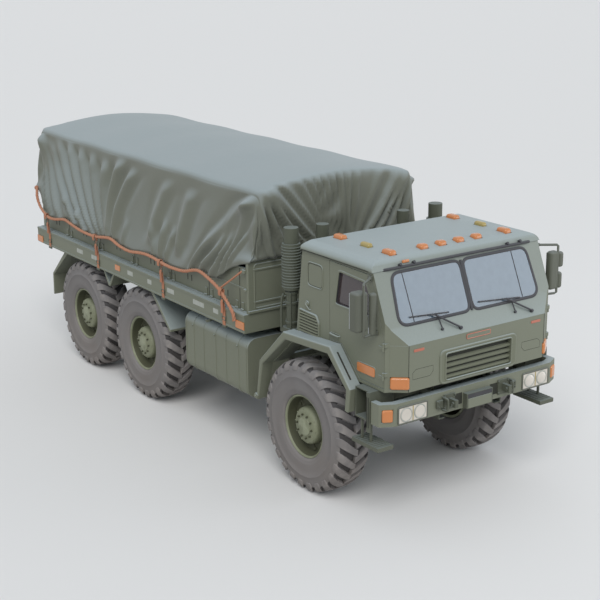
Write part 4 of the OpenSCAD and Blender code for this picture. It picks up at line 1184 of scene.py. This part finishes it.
dress(joined(catches), "brow_catches", "truck", "black_rubber", "dark_plastic")
dress(slab("brow_marker", (3.572, 3.592), (-0.735, -0.650), (2.686, 2.716), 0.007), "brow_marker", "truck",
      "amber_plastic")
lines = [tube("line", [glass(y, .525, 0.004), glass(y + .015, .035, 0.004)], 0.0045, 8) for y in (-0.765, 0.690)]
dress(joined(lines), "pane_lines", "truck", "black_rubber", "dark_plastic")


def wiper(pivot_y, tip, blade_a, blade_b, nub_y):
    pivot = Vector((3.889, pivot_y, 2.002))
    knee = glass(*tip, 0.040)
    a, b = glass(*blade_a, 0.012), glass(*blade_b, 0.012)
    lift = Vector(GLASS_OUT) * 0.016
    return [rod("boss", pivot - Vector((0.02, 0, 0.012)), pivot + Vector((0.024, 0, 0.018)), 0.017, 16, 0.004),
            tube("arm", [pivot + Vector((0.020, 0, 0.014)), pivot.lerp(knee, 0.25) + lift * 1.6, knee], 0.0095, 8),
            tube("blade", [a, a.lerp(b, 0.5) + lift * 0.2, b], 0.0075, 8),
            tube("yoke", [a.lerp(b, 0.18), a.lerp(b, 0.34) + lift, a.lerp(b, 0.66) + lift, a.lerp(b, 0.82)], 0.006, 8),
            tube("link", [knee, a.lerp(b, 0.5) + lift], 0.007, 8),
            rod("nub", (3.862, nub_y, 2.022), (3.892, nub_y, 2.040), 0.013, 14, 0.003),
            tube("nub_arm", [(3.884, nub_y, 2.036), glass(nub_y - .01, 0.015, 0.030), knee + lift * .2], 0.0065, 8)]


dress(joined(wiper(-0.230, (-.498, .050), (-.800, .088), (-.310, .052), -0.455)
             + wiper(0.745, (.447, .056), (.100, .085), (.660, .038), 0.530)),
      "wipers", "truck", "black_rubber", "dark_plastic")

# %% Doors
WINDOW = [(2.990, 2.190), (3.610, 2.190), (3.640, 2.215), (3.490, 2.515), (3.465, 2.532), (3.055, 2.555),
          (3.032, 2.540), (2.972, 2.215)]
fit(hoop("window_rubber", eased_corners([side(x, z) for x, z in WINDOW], 0.04), OUT, 0.013, 0.007),
    "window_rubber", "body_paint", "body_paint", "cab_door")
fit(hoop("window_seal", eased_corners([side(x, z, -0.020) for x, z in WINDOW], 0.04), OUT, 0.012, 0.008),
    "window_seal", "black_rubber", "dark_plastic", "cab_door")
grip = joined([tube("grip", [side(2.905, 1.868, -.002), side(2.915, 1.869, .022), side(2.95, 1.869, .026),
                             side(3.02, 1.866, .026), side(3.048, 1.863, .020), side(3.055, 1.862, -.002)], 0.0095, 10),
               rod("lock", side(3.030, 1.838, -.002), side(3.030, 1.838, .010), 0.010, 16, 0.002),
               tile("scutcheon", oblong((2.895, 3.060), (1.826, 1.882), 0.012, lambda u, v: side(u, v, -.001)),
                    OUT, 0.005, 0.0015)])
fit(grip, "door_handle", "body_paint", "body_paint", "cab_door")
fit(tile("reflector", oblong((3.350, 3.632), (1.590, 1.686), 0.022, lambda u, v: side(u, v, -.001)), OUT, 0.011, 0.004),
    "door_reflector", "amber_plastic", "amber_plastic", "cab_door")
fit(hoop("reflector_rim", oblong((3.345, 3.637), (1.585, 1.691), 0.026, side), OUT, 0.006, 0.005),
    "reflector_rim", "body_paint", "body_paint", "cab_door")

# %% Mirrors
# A single tall head with two small ones outside it on the left; a broad head and a slim one on the right.
ARM = [(3.560, 1.112, 2.590), (3.690, 1.292, 2.590), (3.700, 1.300, 2.580), (3.700, 1.300, 2.070),
       (3.692, 1.276, 2.060), (3.652, 1.112, 2.060)]
HEADS = {"left": [((3.640, 3.725), (1.180, 1.292), (2.110, 2.530)), ((3.655, 3.720), (1.308, 1.380), (2.340, 2.510)),
                  ((3.655, 3.720), (1.308, 1.370), (2.110, 2.290))],
         "right": [((3.562, 3.692), (1.232, 1.379), (2.105, 2.505)), ((3.640, 3.700), (1.126, 1.206), (2.045, 2.480))]}
for side_name, sign in (("left", 1), ("right", -1)):
    parts = [tube("arm", [(x, sign * y, z) for x, y, z in ARM], 0.013, 12)]
    panes = []
    for x, y, z in HEADS[side_name]:
        across = tuple(sorted((sign * y[0], sign * y[1])))
        parts.append(slab("head", x, across, z, 0.030, 5))
        panes.append(slab("mirror_pane", (x[0] - 0.004, x[0] + 0.004), (across[0] + 0.012, across[1] - 0.012),
                          (z[0] + 0.020, z[1] - 0.020), 0.003))
    for x, z in ((3.560, 2.590), (3.652, 2.060)):
        parts.append(slab("pad", (x - 0.030, x + 0.030), tuple(sorted((sign * 1.1005, sign * 1.124))),
                          (z - 0.022, z + 0.022), 0.006))
        parts.append(rod("knuckle", (x + 0.012, sign * 1.118, z), (x + 0.012, sign * 1.146, z), 0.019, 16, 0.004))
    dress(joined(parts), f"mirror_heads_{side_name}", f"cab_door_{side_name}", "dark_plastic", "dark_plastic",
          f"mirror_{side_name}")
    dress(joined(panes), f"mirror_panes_{side_name}", f"cab_door_{side_name}", "mirror_silver", "window_glass")

# %% Cab sides
fit(hoop("panel_rim", oblong((2.500, 2.765), (2.285, 2.540), 0.055, side), OUT, 0.008, 0.0075), "panel_rim", "body_paint")
fit(hoop("panel_seam", oblong((2.512, 2.753), (2.297, 2.528), 0.048, side), OUT, 0.0030, 0.0012), "panel_seam", "seam_dark")
cap = [rod("cap", side(2.493, 2.081, -.004), side(2.493, 2.081, .016), 0.034, 28, 0.005),
       rod("cap_top", side(2.493, 2.081, .014), side(2.493, 2.081, .022), 0.021, 24, 0.003),
       tube("cap_lever", [side(2.480, 2.090, .020), side(2.505, 2.062, .022), side(2.535, 2.030, .012),
                          side(2.548, 2.024, -.002)], 0.007, 8)]
fit(joined(cap), "side_cap", "body_paint")
louvre_loop = [side(u, v, .002) for u, v in ((2.342, 1.742), (2.700, 1.742), (2.700, 1.915), (2.655, 1.985), (2.360, 1.995))]
fit(hoop("louvre_frame", eased_corners(louvre_loop, 0.02), OUT, 0.014, 0.016), "louvre_frame", "body_paint")
# Painted shade: a dark sheet just behind the slats of the air intake.
fit(tile("louvre_painted_shade", [p + Vector((0, .0025, 0)) for p in louvre_loop], OUT, 0.001, 0), "louvre_painted_shade", "seam_dark")
slats = []
for k in range(7):
    z = 1.772 + 0.032 * k
    x0, x1 = 2.352, 2.690 - (0.03 if k == 6 else 0.008 if k == 5 else 0)
    rings = [[Vector((x, -1.1 - o, z + dz)) for o, dz in ((-.001, .011), (.017, -.001), (.019, -.005), (.014, -.006), (-.001, .005))]
             for x in (x0, x1)]
    slats.append(drawn_out("slat", rings))
fit(joined(slats), "louvre_slats", "slat_paint")
fit(tube("gutter", [(2.415, -1.122, 2.652), (2.9, -1.123, 2.654), (3.45, -1.122, 2.652), (3.575, -1.112, 2.650)], 0.006, 8),
    "roof_gutter", "seam_dark")
slope = Vector((0.347, 0, -0.365)).normalized()
slot_rings = [[Vector((3.073, y, 1.795)) + slope * d + Vector((.725, 0, .689)) * o
               for y, o in ((-1.196, .0005), (-1.178, .0005), (-1.178, .004), (-1.196, .004))] for d in (.08, .40)]
fit(drawn_out("guard_slot", slot_rings), "guard_slot", "seam_dark")
fit(joined([rod("foot", (1.712, -1.262, .862), (1.712, -1.180, .862), .034, 24, .008),
            rod("foot_pin", (1.712, -1.272, .862), (1.712, -1.258, .862), .014, 6, .002)]), "guard_foot", "body_paint")

# %% Fascia
dress(hoop("grille_bezel", oblong((-.505, .505), (1.484, 1.816), 0.055, lambda u, v: face(u, v, .002)), FORWARD, 0.015, 0.010),
      "grille_bezel", "truck", "body_paint")
dress(hoop("grille_inner", oblong((-.445, .445), (1.508, 1.789), 0.030, lambda u, v: face(u, v, .011)), FORWARD, 0.009, 0.008),
      "grille_inner", "truck", "body_paint")
# Painted shade: a dark sheet inside the grille's recess, in front of its painted back plate.
dress(tile("grille_painted_shade", oblong((-.436, .436), (1.516, 1.781), 0.02, lambda u, v: face(u, v, -.0385)), FORWARD, 0.002, 0),
      "grille_painted_shade", "truck", "seam_dark", "body_paint")
dress(tile("badge", oblong((-.168, .148), (1.886, 1.932), 0.012, lambda u, v: face(u, v, -.001)), FORWARD, 0.006, 0.002),
      "badge_blank", "truck", "body_paint")
dress(hoop("badge_rim", oblong((-.168, .148), (1.886, 1.932), 0.012, lambda u, v: face(u, v, .004)), FORWARD, 0.0045, 0.003),
      "badge_rim", "truck", "red_plastic", "amber_plastic")
fit(tile("small_badge", oblong((-.852, -.722), (1.880, 1.908), 0.006, lambda u, v: face(u, v, -.001)), FORWARD, 0.006, 0.002),
    "small_badge", "red_plastic", "amber_plastic")
fit(hoop("hatch", [face(y, z) for y, z in ((-.86, 1.60), (-.64, 1.60), (-.60, 1.64), (-.60, 1.70), (-.82, 1.70), (-.86, 1.67))],
         FORWARD, 0.0022, 0.0010, 6), "hatch_seam", "seam_dark")
fit(tube("fascia_seam", [(3.9205, -.912, 1.480), (3.9205, -.912, 1.955)], 0.0028, 6), "fascia_seam", "seam_dark")

# %% Bumper, headlamps and towing gear
fit(hoop("lamp_bezel", oblong((-1.020, -.652), (1.160, 1.334), 0.018, lambda u, v: Vector((3.902, u, v))), FORWARD, 0.010, 0.008),
    "lamp_bezel", "dark_plastic", "dark_plastic")
fit(joined([rod("lens", (3.896, -y, 1.2475), (3.9115, -y, 1.2475), 0.064, 40, 0.006) for y in (.748, .922)]),
    "headlamp_lens", "lamp_glass", "lamp_glass")
fit(joined([hoop("lens_rim", [Vector((3.907, -y + .069 * math.cos(a), 1.2475 + .069 * math.sin(a)))
                              for a in (math.pi * k / 16 for k in range(32))], FORWARD, 0.006, 0.005) for y in (.748, .922)]),
    "headlamp_rim", "pale_mark", "dark_plastic")
fit(slab("lamp_divider", (3.900, 3.9085), (-.839, -.831), (1.170, 1.325), 0.002), "lamp_divider", "yellow_plastic", "amber_plastic")
gear = []
for y in (-.300, -.430):
    for z in (1.205, 1.325):
        gear.append(rod("bolt", (3.910, y, z), (3.924, y, z), 0.0125, 6, 0.003))
gear += [tube("staple", softened([(3.906, -.455, 1.325), (3.960, -.455, 1.325), (3.975, -.440, 1.315), (3.975, -.440, 1.205),
                                  (3.960, -.455, 1.195), (3.906, -.455, 1.195)]), 0.012, 10),
         tube("pin", [(3.985, -.400, 1.265), (3.985, -.330, 1.265)], 0.0185, 18),
         tube("pin_ring", softened([(3.985, -.402, 1.265), (3.998, -.412, 1.245), (3.992, -.414, 1.222), (3.978, -.412, 1.236)]), 0.005, 8),
         slab("hook_foot", (3.896, 3.924), (-.540, -.455), (1.215, 1.305), 0.010, 3),
         rod("hook_bolt", (3.918, -.518, 1.284), (3.934, -.518, 1.284), 0.012, 6, 0.002),
         rod("hook_bolt2", (3.918, -.518, 1.236), (3.934, -.518, 1.236), 0.012, 6, 0.002)]
fit(joined(gear), "tow_bolts", "frame_paint", "frame_paint")
# Painted shade: a dark slab on the bumper face beside the towing gear.
fit(slab("tow_gear_painted_shade", (3.896, 3.9005), (-.292, -.190), (1.200, 1.320), 0.001), "tow_gear_painted_shade", "seam_dark", "frame_paint")
dress(tile("plate_recess", oblong((-.165, .165), (1.262, 1.304), 0.006, lambda u, v: Vector((3.9595, u, v))), FORWARD, 0.0016, 0),
      "plate_recess", "truck", "black_rubber", "dark_plastic")
dress(tile("plate", oblong((-.160, .160), (1.156, 1.256), 0.008, lambda u, v: Vector((3.9595, u, v))), FORWARD, 0.004, 0.0015),
      "plate_blank", "truck", "body_paint")
loops = []
for x in (3.650, 3.676):
    loops.append(slab("slot", (x - .006, x + .006), (-1.2175, -1.2145), (1.10, 1.42), 0.001))
fit(joined(loops), "fin_slots", "seam_dark", "frame_paint")

# %% [markdown]
# ## Rope, straps and the load bed
# The rope is one length a side, hooked to the headboard and to the rear corner. At
# each tie it is caught by a webbing strap that goes over the side rail to a cleat
# under it. The rail carries pale and amber markers, the boards show their joints.

# %% Rope
ROPE = [(-3.803, 2.203), (-3.75, 2.091), (-3.60, 1.995), (-3.426, 1.947), (-3.197, 1.969), (-2.944, 2.024),
        (-2.754, 1.991), (-2.421, 1.948), (-2.012, 1.950), (-1.78, 1.995), (-1.569, 2.017), (-1.384, 1.962),
        (-1.088, 1.940), (-0.85, 1.980), (-0.612, 2.001), (-0.319, 1.976), (-0.125, 1.956), (0.257, 1.972),
        (0.45, 2.035), (0.606, 2.066), (0.819, 2.015), (1.041, 1.945), (1.20, 1.83), (1.325, 1.729), (1.34, 1.64)]


def strands(name, route, radius, turns_per_m=7.0):
    """Three strands laid round one another along a route."""
    pts = [Vector(p) for p in route]
    dense = []
    for a, b in zip(pts, pts[1:]):
        n = max(1, round((b - a).length / 0.03))
        dense += [a.lerp(b, k / n) for k in range(n)]
    dense.append(pts[-1])
    made = []
    for s in range(3):
        travelled, line = 0.0, []
        for i, p in enumerate(dense):
            if i:
                travelled += (p - dense[i - 1]).length
            d = (dense[min(i + 1, len(dense) - 1)] - dense[max(i - 1, 0)]).normalized()
            u = d.cross(Vector((0, 1, 0))).normalized()
            w = d.cross(u)
            a = 2 * math.pi * (travelled * turns_per_m + s / 3)
            line.append(p + radius * 0.48 * (u * math.cos(a) + w * math.sin(a)))
        made.append(tube(f"{name}_{s}", line, radius * 0.56, 8))
    return joined(made)


corner = [Vector(p) for p in ((-3.962, -1.204, 2.284), (-3.915, -1.226, 2.274), (-3.860, -1.250, 2.250))]
main_line = softened(corner + [Vector((x, -1.283, z)) for x, z in ROPE], 2)
knot = rod("knot", (-3.978, -1.206, 2.286), (-3.940, -1.216, 2.280), 0.031, 16, 0.012)
fit(joined([strands("rope", main_line, 0.021), knot]), "lashing_rope", "rope_fibre", "rope_fibre")
upper = softened([(1.041, -1.280, 1.945), (1.16, -1.262, 2.03), (1.30, -1.235, 2.130), (1.405, -1.205, 2.215),
                  (1.452, -1.185, 2.222)], 2)
fit(strands("upper", upper, 0.013, 10), "headboard_rope", "rope_fibre", "rope_fibre")
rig.replaces(bpy.data.objects["lashing_rope_right"], "lashing")

# %% Straps, buckles and cleats
STRAPS = [-3.506, -2.031, -0.303, 1.088]


def strap(x):
    z_top = min(along(ROPE, x), 1.97) + 0.02
    def web(w, points):
        rings = [[Vector((x + s * w, y + dy, z + dz)) for s, dy, dz in
                  ((-1, -.003, 0), (1, -.003, 0), (1, .003, 0), (-1, .003, 0))] for y, z in points]
        return drawn_out("web", rings)
    front = web(0.026, [(-1.262, z_top), (-1.271, z_top - .09), (-1.268, 1.80), (-1.262, 1.735), (-1.2575, 1.70),
                        (-1.2585, 1.62), (-1.262, 1.56), (-1.258, 1.512)])
    loop = web(0.024, [(-1.312, z_top - .06), (-1.315, z_top - .02), (-1.296, z_top + .018), (-1.268, z_top + .012),
                       (-1.262, z_top - .05)])
    tail = web(0.022, [(-1.275, z_top - .10), (-1.287, z_top - .15), (-1.281, z_top - .22), (-1.284, z_top - .27)])
    return joined([front, loop, tail])


def buckle(x):
    z = min(along(ROPE, x), 1.97) - 0.085
    ring = hoop("ring", oblong((x - .036, x + .036), (z - .030, z + .030), .012, lambda u, v: Vector((u, -1.279, v))),
                OUT, 0.006, 0.005)
    return [ring, rod("bar", (x - .034, -1.279, z), (x + .034, -1.279, z), 0.006, 10),
            slab("cleat", (x - .040, x + .040), (-1.268, -1.246), (1.496, 1.524), 0.006),
            hoop("keeper", oblong((x - .034, x + .034), (1.585, 1.625), .008, lambda u, v: Vector((u, -1.262, v))),
                 OUT, 0.005, 0.005)]


fit(joined([strap(x) for x in STRAPS]), "lashing_straps", "rope_fibre", "rope_fibre")
fit(joined(sum((buckle(x) for x in STRAPS), [])), "strap_buckles", "frame_paint", "frame_paint")

# %% Bed side
rail = [slab("lip", (-3.918, 1.498), (-1.2575, -1.248), (1.703, 1.733), 0.004),
        slab("foot", (-3.918, 1.498), (-1.2560, -1.248), (1.522, 1.546), 0.004)]
fit(joined(rail), "rail_lips", "body_paint")
marks = [tile("mark", oblong(x, (1.612, 1.668), .006, lambda u, v: Vector((u, -1.2495, v))), OUT, 0.0025, 0)
         for x in ((-2.668, -2.491), (-2.236, -2.08), (-1.226, -1.085), (-0.704, -0.606), (-0.219, -0.052),
                   (0.393, 0.639), (0.843, 0.951))]
fit(joined(marks), "rail_marks", "pale_mark")
fit(tile("rail_amber", oblong((-1.560, -1.428), (1.604, 1.676), .012, lambda u, v: Vector((u, -1.2495, v))), OUT, 0.008, 0.003),
    "rail_amber", "amber_plastic", "amber_plastic")
joints, slots_cut, hinges = [], [], []
for x in (-3.05, -2.12, -1.18, -0.25, 0.62, 1.28):
    joints.append(slab("joint", (x - .004, x + .004), (-1.1625, -1.158), (1.745, 2.235), 0))
    for dx in (-.060, .060):
        hinges.append(slab("hinge", (x + dx - .024, x + dx + .024), (-1.171, -1.158), (1.748, 1.835), 0.005))
        hinges.append(rod("hinge_pin", (x + dx - .030, -1.170, 1.750), (x + dx + .030, -1.170, 1.750), 0.011, 12, 0.002))
for x in (-3.42, -2.58, -1.62, -0.72, 0.18, 0.98):
    for dx in (-.045, .045):
        slots_cut.append(slab("slot", (x + dx - .007, x + dx + .007), (-1.1615, -1.158), (1.835, 1.905), 0))
fit(joined(joints + slots_cut), "board_joints", "seam_dark")
fit(joined(hinges), "board_hinges", "body_paint")
ribs = [slab("rib", (-3.895, 1.445), (-1.1655, -1.158), (z, z + .022), 0.005) for z in (2.215, 1.985)]
fit(joined(ribs), "board_ribs", "body_paint")

# %% Headboard
head = []
for y in (-1.165,):
    head += [rod("post", (1.470, y, 1.735), (1.470, y, 2.310), 0.028, 24, 0.004),
             rod("post_cap", (1.470, y, 2.300), (1.470, y, 2.327), 0.024, 24, 0.010)]
for y0, y1 in ((-1.11, -0.63), (-0.57, -0.06)):
    head.append(hoop("panel", oblong((y0, y1), (1.790, 2.290), 0.04, lambda u, v: Vector((1.5005, u, v))), FORWARD, 0.012, 0.009))
for z in (1.86, 2.23):
    head.append(slab("band", (1.498, 1.511), (-1.125, -.61), (z - .011, z + .011), 0.004))
head += [slab("sill", (1.496, 1.522), (-1.20, -.004), (1.742, 1.772), 0.005),
         slab("catch", (1.40, 1.46), (-1.214, -1.188), (2.190, 2.235), 0.007),
         slab("hook", (1.418, 1.470), (-1.208, -1.160), (1.985, 2.012), 0.006)]
fit(joined(head), "headboard_frames", "body_paint")

# %% Tailgate and tail
gate = []
for y0, y1 in ((-1.06, -.56), (-.52, -.03)):
    gate.append(hoop("gate_panel", oblong((y0, y1), (1.80, 2.20), .035, lambda u, v: Vector((-3.9155, u, v))), (-1, 0, 0), 0.013, 0.008))
for y in (-.545, -1.085):
    gate.append(slab("gate_rib", (-3.930, -3.914), (y - .018, y + .018), (1.79, 2.235), 0.006))
gate += [slab("gate_top", (-3.928, -3.868), (-1.098, -.002), (2.212, 2.242), 0.006)]
for side_name, piece in (("right", joined(gate)),):
    other = twin(piece)
    dress(joined([piece, other]), "tailgate_frames", "tailgate", "body_paint")
fit(joined([slab("latch", (-3.948, -3.900), (-1.142, -1.108), (2.10, 2.20), 0.008),
            rod("latch_pin", (-3.926, -1.150, 2.15), (-3.926, -1.104, 2.15), 0.010, 12, 0.002)]), "gate_latch", "frame_paint", "frame_paint")
fit(joined([tile("tail_lens", oblong(y, (1.572, 1.668), .012, lambda u, v: Vector((-3.9445, u, v))), (-1, 0, 0), .007, .002)
            for y in ((-1.112, -1.045),)]), "tail_lens_amber", "amber_plastic", "amber_plastic")
fit(joined([tile("tail_lens", oblong(y, (1.572, 1.668), .012, lambda u, v: Vector((-3.9445, u, v))), (-1, 0, 0), .007, .002)
            for y in ((-1.038, -.972), (-.965, -.908))]), "tail_lens_red", "red_plastic", "amber_plastic")

# %% Tank, steps and stacks
tank = []
for x in (0.25, 0.74, 1.23):
    tank += [rod("strap_bolt", (x, -1.196, 1.300), (x, -1.180, 1.300), 0.014, 6, 0.003)]
tank += [rod("filler", (0.50, -1.090, 1.405), (0.50, -1.112, 1.448), 0.052, 32, 0.008),
         rod("filler_neck", (0.50, -1.07, 1.375), (0.50, -1.095, 1.420), 0.042, 28, 0.003),
         tube("filler_loop", softened([(0.455, -1.105, 1.440), (0.47, -1.14, 1.452), (0.53, -1.14, 1.452), (0.545, -1.105, 1.440)]), 0.006, 8)]
dress(joined(tank), "tank_fittings", "truck", "body_paint")
seams = [hoop("tank_seam", oblong((-1.181, -.64), (.739, 1.401), .105, lambda u, v, x=x: Vector((x, u, v))), FORWARD, 0.004, 0.004, 6)
         for x in (0.10, 0.495, 0.985, 1.41)]
dress(joined(seams), "tank_seams", "truck", "body_paint")
box = [slab("lid", (0.694, 1.446), (.634, 1.168), (1.330, 1.388), 0.012, 3),
       slab("box_latch", (0.86, 0.90), (1.160, 1.176), (1.27, 1.35), 0.005), slab("box_latch", (1.24, 1.28), (1.160, 1.176), (1.27, 1.35), 0.005)]
dress(joined(box), "battery_lid", "truck", "body_paint")
treads = []
for z, x, y in ((0.926, (3.43, 3.79), (-1.20, -1.02)), (1.1515, (3.45, 3.67), (-1.185, -1.06))):
    n = 9 if z < 1 else 6
    for k in range(n):
        xx = x[0] + (x[1] - x[0]) * (k + .5) / n
        treads.append(slab("tread", (xx - .006, xx + .006), y, (z - .002, z + .006), 0.002, 1))
fit(joined(treads), "step_treads", "frame_paint", "frame_paint")
stack_parts = []
for (x, y, r) in ((2.060, -1.000, 0.100), (2.020, -0.560, 0.070)):
    for k in range(15):
        deselect()
        bpy.ops.mesh.primitive_torus_add(location=(x, y, 2.160 + 0.031 * k), major_radius=r, minor_radius=0.008,
                                         major_segments=40, minor_segments=8)
        ridge = settle(bpy.context.object)
        bpy.ops.object.shade_smooth()
        stack_parts.append(ridge)
    for z in (1.98, 2.09, 1.76):
        stack_parts.append(rod("clamp", (x, y, z - .014), (x, y, z + .014), r * 0.66 + .006, 36, 0.004))
        stack_parts.append(slab("lug", (x - .050 - r * .6, x - r * .6), (y - .010, y + .010), (z - .010, z + .010), 0.003))
stack_parts += [tube("pipe", softened([(1.985, -1.085, 1.70), (1.985, -1.085, 2.02), (2.00, -1.06, 2.07)]), 0.013, 10),
                tube("pipe", softened([(2.125, -1.062, 1.70), (2.125, -1.062, 2.10)]), 0.010, 10)]
fit(joined(stack_parts), "stack_ribs", "frame_paint", "frame_paint")

# %% [markdown]
# ## Seats
# Each seat cushion is a bag of foam under cloth. The CAD block is remeshed and blown up
# a little by cloth pressure so that its faces crown and its edges pull in.

# %% Seat cushions
cushions = welded_copy("seat_cushions")
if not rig.quick():
    fine = cushions.modifiers.new("fine", "REMESH")
    fine.mode, fine.voxel_size = "VOXEL", 0.016
    apply_all(cushions)
    start = [v.co.copy() for v in cushions.data.vertices]
    puff = cushions.modifiers.new("puff", "CLOTH")
    puff.settings.use_pressure = True
    puff.settings.uniform_pressure_force = 4
    puff.settings.effector_weights.gravity = 0
    puff.settings.quality = 4
    puff.point_cache.frame_end = 20
    for frame_number in range(1, 15):
        bpy.context.scene.frame_set(frame_number)
    apply_all(cushions)
    bpy.context.scene.frame_set(1)
    for v, p in zip(cushions.data.vertices, start):
        move = v.co - p
        if move.length > 0.014:
            v.co = p + move.normalized() * 0.014
    smooth = cushions.modifiers.new("smooth", "SMOOTH")
    smooth.factor, smooth.iterations = 0.6, 4
    apply_all(cushions)
    bpy.ops.object.shade_smooth()
dress(cushions, "cushions", "truck", "seat_cloth", "seat_cloth", "seat_cushions")
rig.padded(cushions, fill=0.7)

# %% [markdown]
# ## Close
# Every CAD node that still shows takes the finish of its slot, and the two boxes are
# written so that the dressed truck can be compared with the plain one.

special = {"door_glass_left": "side_glass", "door_glass_right": "side_glass"}
for node_name, node_obj in frame["nodes"].items():
    node_obj.data.materials.clear()
    node_obj.data.materials.append(looks[special.get(node_name, slots_of[node_name])])
with open("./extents.json", "w") as f:
    json.dump({"cad": [list(cad_box[0]), list(cad_box[1])],
               "visual": [list(v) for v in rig.bounds()]}, f)
print("size", json.load(open("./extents.json")))
